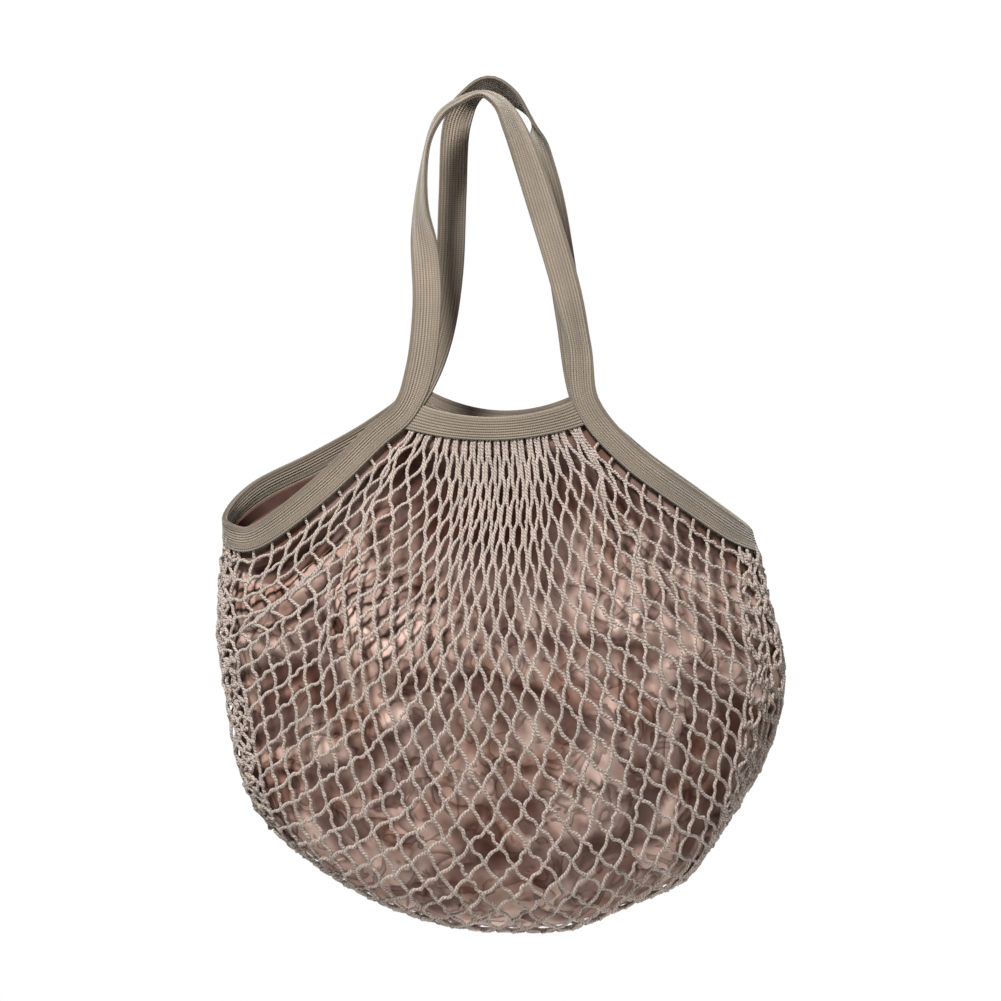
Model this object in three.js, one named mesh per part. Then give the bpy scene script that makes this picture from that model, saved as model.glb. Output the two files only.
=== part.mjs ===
// A net shopping bag as it hangs from a hook: a cord net with its top edge gathered into two short
// bindings, one folded knit tape that edges both sides of the mouth and runs on as the two handles,
// and a loose cloth lining that fills the net.
// Millimetres, +Z up, the front of the bag towards -Y. The origin is the point under the handles
// where the hook carries them.
import * as THREE from "three";

// Driving dimensions
// The folded tape, its width from fold to open edge: two layers sewn flat on the handles, and parted
// to take the net's edge around the mouth
const STRAP = { width: 23, thickness: 3.2, slotWidth: 0.7, slotDepth: 1.5 };
const BOUND = { width: 20.5, thickness: 5.2, slotWidth: 2.8, slotDepth: 4.5 };
const FOLD_ROUND = 0.6; // share of the half thickness that the tape's fold is rounded by
const BINDING_GAP = 1.8; // a binding's end to the tape that it is sewn to
const CORNER_GAP = 5; // the net's edge to the tape at the corners of the mouth
const NET_TUCK = 3; // how far the net's edge reaches into a slot
const NET_TUCK_START = 85; // distance from a side corner over which the edge slides into the slot
const NET_DROP = 8; // the flat margin of net below a tape, before the body begins
const NET_THICKNESS = 1.8;
const NET_COLUMNS = 12; // net columns on each panel
const NET_ROWS = 9;
const NET_OPEN = 0.77; // size of a mesh's gap against the mesh
const WELD = 1e-3; // points closer than this are one
const RIM_STEPS = 3; // steps in each net column along the mouth
const MESH_STEPS = 2; // steps along each side of a mesh
const LINING_THICKNESS = 1;
const LINING_INSET = 5.4; // middle of the net to the middle of the lining
const LINING_TOP = -0.8; // where the lining begins, in the margin just below the tapes
const LINING_COLUMNS = 18;
const LINING_ROWS = 16;
const FULLEST = 0.58; // share of a panel's height where it bulges most
const MOUTH_EASE = 1.6; // how quickly the net spreads out below its gathered edge
const MOUTH_FADE = 0.75; // share of the height over which the mouth's depth fades out
const SWELL_EASE = 1.3; // how gently a panel begins to swell below its mouth
const TAPE_STEPS = 3; // stretches between two rows of the tape's table
const BINDING_STEPS = 14;
const BINDING_LOOK = 0.01; // share of a binding looked ahead and back to find its direction

const vec = (x, y, z) => new THREE.Vector3(x, y, z);
const mix = (a, b, share) => a.clone().lerp(b, share);
const smooth = (share) => THREE.MathUtils.smoothstep(share, 0, 1);
const table = (columns, rows) =>
  rows.map((row) => Object.fromEntries(columns.map((name, k) => [name, row[k]])));

// The tape's middle line, from the left corner over the front handle to the right corner and back
// over the rear handle. facing is where its outer face looks in plan (0 front, 90 right, 180 back)
// and lift how far that face tips up, in degrees. bound is 1 where the tape holds the net's edge.
const TAPE_ROWS = table(
  ["x", "y", "z", "facing", "lift", "bound"],
  [
    [-210, 0, -341, -90, 0, 1], // left corner
    [-195, -15, -352, -38, 0, 1],
    [-173, -25, -344, -10, 4, 1],
    [-130, -34, -311, -3, 10, 1],
    [-89, -40, -272, 0, 10, 1],
    [-65, -42, -250, 0, 8, 1], // front binding's left end
    [-53, -41, -218, 0, 5, 0],
    [-48, -36, -172, 0, 2, 0],
    [-49, -31, -134, -8, 0, 0],
    [-53, -26, -91, -60, 0, 0],
    [-49, -21, -46, -80, 5, 0],
    [-39, -17, -18, -69, 35, 0],
    [-24, -15, -5, -45, 62, 0],
    [-5, -14, 2, 0, 72, 0], // top of the front handle
    [11, -15, -7, 45, 40, 0],
    [22, -18, -28, 34, 12, 0],
    [32, -22, -55, 18, 3, 0],
    [46, -28, -100, 4, 0, 0],
    [61, -34, -152, 8, 0, 0],
    [71, -39, -199, 30, 3, 0],
    [78, -42, -246, 0, 8, 1], // front binding's right end
    [111, -40, -286, 2, 10, 1],
    [159, -32, -321, 6, 8, 1],
    [193, -17, -344, 30, 2, 1],
    [214, 0, -354, 90, 0, 1], // right corner
    [196, 17, -342, 148, 0, 1],
    [164, 31, -318, 172, 8, 1],
    [116, 39, -282, 178, 10, 1],
    [79, 42, -242, 180, 8, 1], // rear binding's right end
    [67, 37, -174, 180, 2, 0],
    [53, 28, -89, 174, 0, 0],
    [41, 22, -41, 150, 0, 0],
    [36, 18, -15, 84, 27, 0],
    [20, 16, 4, 124, 58, 0],
    [2, 15, 14, 180, 64, 0], // top of the rear handle
    [-14, 16, 5, 220, 44, 0],
    [-26, 19, -20, 190, 10, 0],
    [-29, 27, -73, 180, 0, 0],
    [-32, 34, -137, 180, 0, 0],
    [-41, 39, -190, 180, 4, 0],
    [-60, 42, -236, 180, 8, 1], // rear binding's left end
    [-92, 40, -263, 180, 10, 1],
    [-140, 31, -291, 185, 8, 1],
    [-186, 17, -315, 220, 2, 1],
  ],
);

// The two panels of the bag. Places on the tape are counted in rows of its table.
const FRONT = {
  corners: { left: 0, right: 24 },
  bindingFoot: { left: 4.68, right: 20.24 },
  bindingHead: { left: 5.28, right: 19.88 },
  bindingSag: 10,
  bindingBow: -5,
  bulge: -86,
};
const BACK = {
  corners: { left: 44, right: 24 },
  bindingFoot: { left: 40.22, right: 27.82 },
  bindingHead: { left: 39.78, right: 28.15 },
  bindingSag: 12,
  bindingBow: 5,
  bulge: 78,
};
// The shares of the net's columns where the binding starts and ends
const GATHER = { left: 0.22, right: 0.78 };

// The bag's outline from the front, below the corners of the mouth
const LEFT_OUTLINE = table(["x", "z"], [
  [-214, -389], [-214, -433], [-207, -481], [-199, -529], [-187, -566],
]);
const RIGHT_OUTLINE = table(["x", "z"], [
  [224, -401], [234, -437], [236, -469], [227, -513], [212, -545], [180, -593],
]);
const BOTTOM_OUTLINE = table(["x", "z"], [
  [-187, -566], [-158, -595], [-118, -625], [-70, -649], [-22, -662],
  [26, -665], [66, -663], [106, -647], [155, -624], [180, -593],
]);

// The lining's main folds, from one place on a panel to another: across from the left and down from
// the mouth
const FRONT_FOLDS = table(["across0", "down0", "across1", "down1", "width", "depth"], [
  [0.1, 0.84, 0.42, 0.58, 0.05, 7],
  [0.55, 0.6, 0.9, 0.82, 0.05, 7],
  [0.5, 0.4, 0.92, 0.5, 0.05, 6],
  [0.16, 0.25, 0.2, 0.68, 0.04, 5],
  [0.38, 0.84, 0.66, 0.87, 0.04, 5],
]);
const BACK_FOLDS = table(["across0", "down0", "across1", "down1", "width", "depth"], [
  [0.12, 0.5, 0.46, 0.7, 0.05, 7],
  [0.52, 0.66, 0.88, 0.48, 0.05, 6],
  [0.3, 0.86, 0.7, 0.84, 0.04, 5],
]);

// The direction that a tape's outer face looks in
function faceDirection({ facing, lift }) {
  const turn = THREE.MathUtils.degToRad(facing);
  const tip = THREE.MathUtils.degToRad(lift);
  return vec(Math.sin(turn) * Math.cos(tip), -Math.cos(turn) * Math.cos(tip), Math.sin(tip));
}

const loopOf = (points) => new THREE.CatmullRomCurve3(points, true, "catmullrom", 0.5);
const tapeLine = loopOf(TAPE_ROWS.map(({ x, y, z }) => vec(x, y, z)));
const tapeFaces = loopOf(TAPE_ROWS.map(faceDirection));
const tapeBound = loopOf(TAPE_ROWS.map(({ bound }) => vec(bound, 0, 0)));

// The tape at a place counted in table rows: its open edge, the way to its fold, its outer face and
// its sizes
function tapeAt(row) {
  const share = THREE.MathUtils.euclideanModulo(row / TAPE_ROWS.length, 1);
  const along = tapeLine.getTangent(share);
  const face = tapeFaces.getPoint(share).projectOnPlane(along).normalize();
  const toFold = face.clone().cross(along);
  const bound = smooth(tapeBound.getPoint(share).x);
  const sizeOf = (name) => [name, THREE.MathUtils.lerp(STRAP[name], BOUND[name], bound)];
  const size = Object.fromEntries(Object.keys(STRAP).map(sizeOf));
  const edge = tapeLine.getPoint(share).addScaledVector(toFold, -size.width / 2);
  return { edge, toFold, face, size };
}

// A point across the tape: reach is counted from its open edge towards its fold
function acrossTape(row, reach) {
  const { edge, toFold } = tapeAt(row);
  return edge.addScaledVector(toFold, reach);
}

// The outline of a folded tape in (across, out) steps, open slot and rounded fold included
function foldedSection({ width, thickness, slotWidth, slotDepth }) {
  const half = thickness / 2;
  const slot = slotWidth / 2;
  const round = half * FOLD_ROUND;
  return [
    [0, half], [0, slot], [slotDepth, slot], [slotDepth, -slot], [0, -slot], [0, -half],
    [width - round, -half], [width, round - half], [width, half - round], [width - round, half],
  ];
}

// Joins rings of points into one closed skin, either as an endless loop or with a cap at each end
function skinOf(rings, { endless }) {
  const count = rings[0].length;
  const points = rings.flat();
  const faces = [];
  const last = endless ? rings.length : rings.length - 1;
  for (let ring = 0; ring < last; ring++) {
    const next = (ring + 1) % rings.length;
    for (let k = 0; k < count; k++) {
      const k1 = (k + 1) % count;
      const corner = [ring * count + k, ring * count + k1, next * count + k1, next * count + k];
      faces.push([corner[0], corner[1], corner[2]], [corner[0], corner[2], corner[3]]);
    }
  }
  if (!endless) {
    const contour = foldedSection(BOUND);
    const flat = contour.map(([across, out]) => new THREE.Vector2(across, out));
    const cap = THREE.ShapeUtils.triangulateShape(flat, []);
    const end = (rings.length - 1) * count;
    for (const [a, b, c] of cap) faces.push([a, c, b], [end + a, end + b, end + c]);
  }
  return { points, faces };
}

function geometryOf({ points, faces }) {
  const geometry = new THREE.BufferGeometry().setFromPoints(points);
  geometry.setIndex(faces.flat());
  geometry.computeVertexNormals();
  return geometry;
}

// The tape: one endless loop that edges the mouth and makes both handles
function handleTape() {
  const rings = [];
  for (let step = 0; step < TAPE_ROWS.length * TAPE_STEPS; step++) {
    const { edge, toFold, face, size } = tapeAt(step / TAPE_STEPS);
    rings.push(
      foldedSection(size).map(([across, out]) =>
        edge.clone().addScaledVector(toFold, across).addScaledVector(face, out),
      ),
    );
  }
  return geometryOf(skinOf(rings, { endless: true }));
}

// A binding's foot and head at a share of its length, between the tape's open edges
function bindingAt(panel, share) {
  const line = (ends) => {
    const left = acrossTape(ends.left, -BINDING_GAP);
    const right = acrossTape(ends.right, -BINDING_GAP);
    const swell = 4 * share * (1 - share);
    return mix(left, right, share).add(vec(0, panel.bindingBow * swell, -panel.bindingSag * swell));
  };
  return { foot: line(panel.bindingFoot), head: line(panel.bindingHead) };
}

// A short folded tape over the gathered top edge of a panel
function binding(panel) {
  const outward = Math.sign(panel.bulge);
  const rings = [];
  for (let step = 0; step <= BINDING_STEPS; step++) {
    const share = step / BINDING_STEPS;
    const { foot, head } = bindingAt(panel, share);
    const ahead = bindingAt(panel, share + BINDING_LOOK).foot;
    const beside = ahead.sub(bindingAt(panel, share - BINDING_LOOK).foot);
    const up = head.clone().sub(foot);
    const width = up.length();
    up.normalize();
    const out = up.clone().cross(beside).normalize();
    if (out.y * outward < 0) out.negate();
    rings.push(
      foldedSection({ ...BOUND, width }).map(([across, depth]) =>
        foot.clone().addScaledVector(up, across).addScaledVector(out, depth),
      ),
    );
  }
  return geometryOf(skinOf(outward < 0 ? rings : rings.reverse(), { endless: false }));
}

// A place along a panel's mouth, tucked into the tape or binding by reach, or below it if negative
function mouthPoint(panel, across, reach) {
  const { left, right } = GATHER;
  const { corners, bindingFoot } = panel;
  if (across > left && across < right) {
    const { foot, head } = bindingAt(panel, (across - left) / (right - left));
    return foot.add(head.sub(foot).setLength(1).multiplyScalar(reach));
  }
  const row =
    across <= left
      ? THREE.MathUtils.lerp(corners.left, bindingFoot.left, across / left)
      : THREE.MathUtils.lerp(corners.right, bindingFoot.right, (1 - across) / (1 - right));
  return acrossTape(row, reach);
}

// How far the net's edge is tucked in: not at all at the side corners
function tuckAt(panel, across) {
  const place = mouthPoint(panel, across, 0);
  const near = Math.min(...[0, 1].map((corner) => place.distanceTo(mouthPoint(panel, corner, 0))));
  return THREE.MathUtils.lerp(-CORNER_GAP, NET_TUCK, smooth(near / NET_TUCK_START));
}

// An open curve through a start and the rows of an outline
function outlineCurve(start, rows) {
  const points = rows.map(({ x, z }) => vec(x, 0, z));
  return new THREE.CatmullRomCurve3([...start, ...points], false, "centripetal");
}

// A panel of the bag as a function of two shares, across from the left and down from the mouth.
// Its front view is a patch between the mouth and the outline, and it swells out like a pillow.
function panelSurface(panel) {
  const left = outlineCurve([mouthPoint(panel, 0, -NET_DROP)], LEFT_OUTLINE);
  const right = outlineCurve([mouthPoint(panel, 1, -NET_DROP)], RIGHT_OUTLINE);
  const bottom = outlineCurve([], BOTTOM_OUTLINE);
  const corner = (across, down) => (across ? right : left).getPointAt(down);
  return (across, down) => {
    const angle = Math.PI * across;
    const spread = (1 - Math.cos(angle)) / 2;
    const lower = Math.max(0, (down - FULLEST) / (1 - FULLEST));
    const fall = down < FULLEST ? down : FULLEST + (1 - FULLEST) * Math.sin((Math.PI / 2) * lower);
    const mouth = mouthPoint(panel, across, -NET_DROP);
    const fromMouth = mouth.clone().sub(mix(corner(0, 0), corner(1, 0), spread));
    const fromBottom = bottom.getPointAt(spread).sub(mix(corner(0, 1), corner(1, 1), spread));
    const patch = mix(left.getPointAt(fall), right.getPointAt(fall), spread)
      .addScaledVector(fromMouth, (1 - fall) ** MOUTH_EASE)
      .addScaledVector(fromBottom, fall);
    const rise = Math.sin((Math.PI / 2) * Math.min(1, down / FULLEST)) ** SWELL_EASE;
    const swell = panel.bulge * Math.sin(angle) * rise * Math.cos((Math.PI / 2) * lower);
    return patch.setY(mouth.y * (1 - smooth(fall / MOUTH_FADE)) + swell);
  };
}

const surfaces = new Map([FRONT, BACK].map((panel) => [panel, panelSurface(panel)]));

// The whole bag as one wrapped sheet. turn runs 0 to 1 across the front and 1 to 2 back across the
// rear. down runs 0 to 1 from the mouth to the bottom fold, and -1 to 0 over the tucked margin.
function bagPoint(turn, down) {
  const panel = turn <= 1 ? FRONT : BACK;
  const across = turn <= 1 ? turn : 2 - turn;
  if (down >= 0) return surfaces.get(panel)(across, down);
  return mouthPoint(panel, across, THREE.MathUtils.lerp(-NET_DROP, tuckAt(panel, across), -down));
}

// A sheet of faces that share the vertices lying at one place
class Sheet {
  points = [];
  faces = [];
  places = new Map();

  vertex(point) {
    const key = point.toArray().map((value) => Math.round(value / WELD)).join();
    if (!this.places.has(key)) this.places.set(key, this.points.push(point) - 1);
    return this.places.get(key);
  }

  quad(a, b, c, d) {
    const corner = [a, b, c, d].map((point) => this.vertex(point));
    for (const face of [[corner[0], corner[1], corner[2]], [corner[0], corner[2], corner[3]]])
      if (new Set(face).size === 3) this.faces.push(face);
  }

  normals() {
    const sums = this.points.map(() => vec(0, 0, 0));
    for (const face of this.faces) {
      const [a, b, c] = face.map((k) => this.points[k]);
      const flat = b.clone().sub(a).cross(c.clone().sub(a));
      for (const k of face) sums[k].add(flat);
    }
    return sums.map((sum) => sum.normalize());
  }

  // The closed wall of a given thickness that has this sheet as its middle
  thicken(thickness) {
    const normals = this.normals();
    const count = this.points.length;
    const half = thickness / 2;
    const side = (out) => this.points.map((p, k) => p.clone().addScaledVector(normals[k], out));
    const faces = this.faces.flatMap(([a, b, c]) => [[a, b, c], [a + count, c + count, b + count]]);
    const edges = this.faces.flatMap(([a, b, c]) => [[a, b], [b, c], [c, a]]);
    const known = new Set(edges.map((edge) => edge.join()));
    for (const [a, b] of edges)
      if (!known.has([b, a].join())) faces.push([b, a, a + count], [b, a + count, b + count]);
    return geometryOf({ points: [...side(half), ...side(-half)], faces });
  }
}

// The net: diamond meshes cut through a wrapped wall, with a margin that is tucked into the tapes
function net() {
  const sheet = new Sheet();
  const place = ([column, row]) =>
    bagPoint(THREE.MathUtils.euclideanModulo(column / NET_COLUMNS, 2), row / NET_ROWS);
  const mesh = (corners, steps) => {
    const rim = corners.flatMap((from, k) => {
      const to = corners[(k + 1) % corners.length];
      const towards = (share) => from.map((value, axis) => value + (to[axis] - value) * share);
      return Array.from({ length: steps[k] }, (_, n) => towards(n / steps[k]));
    });
    const heart = [0, 1].map((axis) => corners.reduce((sum, c) => sum + c[axis], 0) / corners.length);
    const gap = rim.map((p) => p.map((value, axis) => heart[axis] + NET_OPEN * (value - heart[axis])));
    rim.forEach((p, k) => {
      const next = (k + 1) % rim.length;
      sheet.quad(place(p), place(rim[next]), place(gap[next]), place(gap[k]));
    });
  };
  for (let column = 0; column < 2 * NET_COLUMNS; column++) {
    for (let row = 0; row <= NET_ROWS; row++) {
      if ((column + row) % 2 === 0) continue;
      const above = [column, row - 1];
      const left = [column - 1, row];
      const below = [column, row + 1];
      const right = [column + 1, row];
      if (row === 0) mesh([left, below, right], [MESH_STEPS, MESH_STEPS, 2 * RIM_STEPS]);
      else if (row === NET_ROWS) mesh([above, left, right], [MESH_STEPS, 2 * MESH_STEPS, MESH_STEPS]);
      else mesh([above, left, below, right], [MESH_STEPS, MESH_STEPS, MESH_STEPS, MESH_STEPS]);
    }
  }
  const steps = 2 * NET_COLUMNS * RIM_STEPS;
  for (let step = 0; step < steps; step++) {
    const [turn, next] = [step, step + 1].map((n) => ((2 * n) / steps) % 2);
    sheet.quad(bagPoint(turn, -1), bagPoint(turn, 0), bagPoint(next, 0), bagPoint(next, -1));
  }
  return sheet.thicken(NET_THICKNESS);
}

// How deep the folds press into a panel at one place
function foldDepth(folds, across, down) {
  return Math.max(
    ...folds.map(({ across0, down0, across1, down1, width, depth }) => {
      const line = new THREE.Line3(vec(across0, down0, 0), vec(across1, down1, 0));
      const spot = vec(across, down, 0);
      const away = spot.distanceTo(line.closestPointToPoint(spot, true, vec(0, 0, 0)));
      return depth * Math.exp(-((away / width) ** 2));
    }),
  );
}

// The lining: an open pouch of cloth just inside the net, pressed into folds
function lining() {
  const flat = new Sheet();
  const depths = [];
  const corner = (column, row) => {
    const turn = (column / LINING_COLUMNS) % 2;
    const down = row === 0 ? LINING_TOP : (row - 1) / (LINING_ROWS - 1);
    const point = bagPoint(turn, down);
    const folds = turn <= 1 ? FRONT_FOLDS : BACK_FOLDS;
    depths[flat.vertex(point)] = LINING_INSET + foldDepth(folds, turn <= 1 ? turn : 2 - turn, down);
    return point;
  };
  for (let column = 0; column < 2 * LINING_COLUMNS; column++)
    for (let row = 0; row < LINING_ROWS; row++)
      flat.quad(
        corner(column, row), corner(column, row + 1),
        corner(column + 1, row + 1), corner(column + 1, row),
      );
  const normals = flat.normals();
  flat.points.forEach((point, k) => point.addScaledVector(normals[k], -depths[k]));
  return flat.thicken(LINING_THICKNESS);
}

// The finishes of the cloth and cord
const KNIT_COTTON = { color: 0xa8927c, roughness: 0.95, metalness: 0 };
const TWISTED_COTTON = { color: 0xb79c88, roughness: 0.95, metalness: 0 };
const SOFT_SATIN = { color: 0x94736a, roughness: 0.5, metalness: 0 };

function piece(name, geometry, finish) {
  const mesh = new THREE.Mesh(geometry, new THREE.MeshStandardMaterial(finish));
  mesh.name = name;
  return mesh;
}

const bag = new THREE.Group();
bag.add(
  piece("handle_tape", handleTape(), KNIT_COTTON),
  piece("front_binding", binding(FRONT), KNIT_COTTON),
  piece("rear_binding", binding(BACK), KNIT_COTTON),
  piece("net", net(), TWISTED_COTTON),
  piece("lining", lining(), SOFT_SATIN),
);

export default bag;
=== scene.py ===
"""Dresses a hanging net shopping bag: cord net, folded knit tape, two bindings and a satin lining.

Metres, +Z up, the front of the bag towards -Y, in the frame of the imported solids. The tables of the
tape and of the bag's outline are in millimetres.
"""

from __future__ import annotations

import logging
import math
from dataclasses import dataclass, field
from enum import Enum

import bmesh
import bpy
import numpy as np
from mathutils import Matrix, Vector
from mathutils.bvhtree import BVHTree

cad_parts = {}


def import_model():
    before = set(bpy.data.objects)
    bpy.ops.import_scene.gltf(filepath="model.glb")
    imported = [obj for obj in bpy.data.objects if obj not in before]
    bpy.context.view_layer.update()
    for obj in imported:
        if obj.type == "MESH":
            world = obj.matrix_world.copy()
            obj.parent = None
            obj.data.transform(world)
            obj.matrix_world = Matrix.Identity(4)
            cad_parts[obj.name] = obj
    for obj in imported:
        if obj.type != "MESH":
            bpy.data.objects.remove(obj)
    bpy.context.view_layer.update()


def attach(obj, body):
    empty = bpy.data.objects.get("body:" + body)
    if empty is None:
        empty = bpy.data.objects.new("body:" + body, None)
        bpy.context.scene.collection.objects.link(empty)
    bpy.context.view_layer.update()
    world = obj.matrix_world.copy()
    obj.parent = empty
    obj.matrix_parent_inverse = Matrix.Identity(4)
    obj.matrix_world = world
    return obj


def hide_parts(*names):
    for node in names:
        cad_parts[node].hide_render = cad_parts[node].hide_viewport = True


LOG = logging.getLogger("net_bag")
MM = 0.001
BODY = "root"
TURN = 2.0 * math.pi
TINY = 1e-6
SHORTEST = 1e-12  # keeps a vector without length from dividing by nothing
SLOPE_STEP = 1e-3  # rows of a table over which a slope is taken
WELD = 0.01 * MM
FINE_STEPS = 400  # steps in which a line is walked to measure it
SKIN_COLUMNS = 72  # steps across and down the surface that the net is pressed onto
SKIN_ROWS = 64
# Name of the mesh attribute of painted shade on the satin: darkening in its folds, under the gather and
# tapes, and on its inner face.
PAINTED_SHADE = "painted_shade"  # how dark the satin is in the depth of its folds and on its inner face
SLOT_POINTS = 4  # points of a folded tape's section that lie in its open slot

Colour = tuple[float, float, float, float]
Span = tuple[float, float]
Spot = tuple[float, float, float]

# The tape's middle line, from the left corner over the front handle to the right corner and back over
# the rear handle: x, y, z, facing (0 front, 90 right, 180 back), lift of its face, bound to the net
TAPE_ROWS = np.array([
    (-210, 0, -341, -90, 0, 1), (-195, -15, -352, -38, 0, 1), (-173, -25, -344, -10, 4, 1),
    (-130, -34, -311, -3, 10, 1), (-89, -40, -272, 0, 10, 1), (-65, -42, -250, 0, 8, 1),
    (-53, -41, -218, 0, 5, 0), (-48, -36, -172, 0, 2, 0), (-49, -31, -134, -8, 0, 0),
    (-53, -26, -91, -60, 0, 0), (-49, -21, -46, -80, 5, 0), (-39, -17, -18, -69, 35, 0),
    (-24, -15, -5, -45, 62, 0), (-5, -14, 2, 0, 72, 0), (11, -15, -7, 45, 40, 0),
    (22, -18, -28, 34, 12, 0), (32, -22, -55, 18, 3, 0), (46, -28, -100, 4, 0, 0),
    (61, -34, -152, 8, 0, 0), (71, -39, -199, 30, 3, 0), (78, -42, -246, 0, 8, 1),
    (111, -40, -286, 2, 10, 1), (159, -32, -321, 6, 8, 1), (193, -17, -344, 30, 6, 1),
    (212, 0, -354, 90, 18, 1), (196, 17, -342, 148, 6, 1), (164, 31, -318, 172, 8, 1),
    (116, 39, -282, 178, 10, 1), (79, 42, -242, 180, 8, 1), (67, 37, -174, 180, 2, 0),
    (53, 28, -89, 174, 0, 0), (41, 22, -41, 150, 0, 0), (36, 18, -15, 84, 27, 0),
    (20, 16, 4, 124, 58, 0), (2, 15, 14, 180, 64, 0), (-14, 16, 5, 220, 44, 0),
    (-26, 19, -20, 190, 10, 0), (-29, 27, -73, 180, 0, 0), (-32, 34, -137, 180, 0, 0),
    (-41, 39, -190, 180, 4, 0), (-60, 42, -236, 180, 8, 1), (-92, 40, -263, 180, 10, 1),
    (-140, 31, -291, 185, 8, 1), (-186, 17, -315, 220, 2, 1),
], dtype=float)

# The bag's outline from the front, below the corners of the mouth: x, z
LEFT_OUTLINE = ((-214, -389), (-214, -433), (-207, -481), (-199, -529), (-187, -566))
RIGHT_OUTLINE = ((224, -401), (234, -437), (236, -469), (227, -513), (212, -545), (180, -593))
BOTTOM_OUTLINE = (
    (-187, -566), (-158, -595), (-118, -625), (-70, -649), (-22, -662),
    (26, -665), (66, -663), (106, -647), (155, -624), (180, -593),
)

# How the gather opens: by row of crossings, how wide its meshes hang in millimetres, and the share of
# the row that they take up.
GATHER = ((21, 6.4, 1.0), (22, 6.6, 0.5), (25, 7.4, 0.4), (27, 8.6, 0.35), (29, 10.6, 0.3),
          (31, 13.0, 0.25), (33, 15.5, 0.2), (36, 18.0, 0.1), (39, 20.0, 0.0), (49, 26.0, 0.0))
# The main folds of the lining in front: each a line in shares across and down the panel, full on the
# left of it, how far the cloth falls in on its right and over what width it comes back, both in mm.
MAIN_FOLDS = (
    (((0.408, 0.296), (0.55, 0.317), (0.683, 0.358), (0.825, 0.412)), 18, 50),
    (((0.35, 0.412), (0.458, 0.417), (0.542, 0.438), (0.629, 0.5), (0.683, 0.579),
      (0.717, 0.629)), 16, 40),
    (((0.129, 0.758), (0.267, 0.667), (0.35, 0.596), (0.412, 0.517), (0.438, 0.442)), 16, 36),
    (((0.885, 0.37), (0.825, 0.60), (0.765, 0.675), (0.71, 0.765), (0.70, 0.86)), 22, 30),
    (((0.408, 0.767), (0.492, 0.738), (0.558, 0.721), (0.608, 0.7)), 8, 14),
    (((0.212, 0.633), (0.183, 0.583), (0.158, 0.467)), 10, 12),
)


class Side(Enum):
    """The two panels of the bag."""

    FRONT = "front"
    REAR = "rear"


@dataclass(frozen=True)
class Panel:
    """One panel of the bag; places on the tape are counted in rows of its table."""

    side: Side
    corners: Span
    binding_foot: Span
    binding_head: Span
    sag: float
    bow: float
    bulge: float


FRONT = Panel(
    Side.FRONT, (0.0, 24.0), (4.68, 20.24), (5.28, 19.88), 10 * MM, -5 * MM, -86 * MM
)
REAR = Panel(
    Side.REAR, (44.0, 24.0), (40.22, 27.82), (39.78, 28.15), 12 * MM, 5 * MM, 78 * MM
)
PANELS = (FRONT, REAR)


def smooth(share: np.ndarray) -> np.ndarray:
    """Ease a share in and out between 0 and 1, and hold it beyond them."""
    held = np.clip(share, 0.0, 1.0)
    return held * held * (3.0 - 2.0 * held)


def unit(vectors: np.ndarray) -> np.ndarray:
    """Scale each vector to a length of one."""
    return vectors / np.maximum(np.linalg.norm(vectors, axis=-1, keepdims=True), SHORTEST)


def lerp(first: np.ndarray | float, second: np.ndarray | float, share: np.ndarray) -> np.ndarray:
    """Go from first to second by a share."""
    return first + (second - first) * share


def lengths_along(points: np.ndarray) -> np.ndarray:
    """Measure the distance along a line of points, from its first point to each of them."""
    steps = np.linalg.norm(np.diff(points, axis=0), axis=1)
    return np.concatenate([[0.0], np.cumsum(steps)])


def cubic(start: np.ndarray, end: np.ndarray, out: np.ndarray, into: np.ndarray,
          share: np.ndarray) -> np.ndarray:
    """Find places on a cubic stretch.

    Args:
        start: Where the stretch starts.
        end: Where it ends.
        out: Its slope at the start.
        into: Its slope at the end.
        share: How far along the stretch each place is.

    Returns:
        The places, one row each.
    """
    square = 3.0 * (end - start) - 2.0 * out - into
    cube = 2.0 * (start - end) + out + into
    return start + share * (out + share * (square + share * cube))


@dataclass(frozen=True)
class Loop:
    """An endless smooth line through the rows of a table."""

    rows: np.ndarray

    def _stretch(self, place: np.ndarray) -> tuple[np.ndarray, ...]:
        """Pick the four rows around each place, and its share of the stretch between two rows."""
        first = np.floor(place).astype(int)
        around = [self.rows[(first + k) % len(self.rows)] for k in (-1, 0, 1, 2)]
        return (*around, (place - first)[:, None])

    def at(self, place: np.ndarray) -> np.ndarray:
        """Find the values at places counted in rows."""
        before, start, end, after, share = self._stretch(place)
        return cubic(start, end, (end - before) / 2, (after - start) / 2, share)

    def slope(self, place: np.ndarray) -> np.ndarray:
        """Find how the values change along the line at places counted in rows."""
        return self.at(place + SLOPE_STEP) - self.at(place - SLOPE_STEP)


class Outline:
    """A smooth open line through a few points, walked by its length."""

    STEPS = 40

    def __init__(self, points: np.ndarray) -> None:
        """Lay the line through the points.

        Args:
            points: The points, one row each.
        """
        held = np.vstack([2 * points[0] - points[1], points, 2 * points[-1] - points[-2]])
        gaps = np.sqrt(np.linalg.norm(np.diff(held, axis=0), axis=1))
        share = np.linspace(0.0, 1.0, self.STEPS, endpoint=False)[:, None]
        pieces = []
        for k in range(len(points) - 1):
            before, start, end, after = held[k:k + 4]
            gap0, gap1, gap2 = gaps[k:k + 3]
            middle = (end - start) / gap1
            out = (start - before) / gap0 - (end - before) / (gap0 + gap1) + middle
            into = middle - (after - start) / (gap1 + gap2) + (after - end) / gap2
            pieces.append(cubic(start, end, out * gap1, into * gap1, share))
        self.points = np.vstack([*pieces, points[-1:]])
        reached = lengths_along(self.points)
        self.shares = reached / reached[-1]

    def at(self, share: np.ndarray) -> np.ndarray:
        """Find places by their share of the line's length."""
        return np.stack([np.interp(share, self.shares, axis) for axis in self.points.T], axis=-1)


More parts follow.
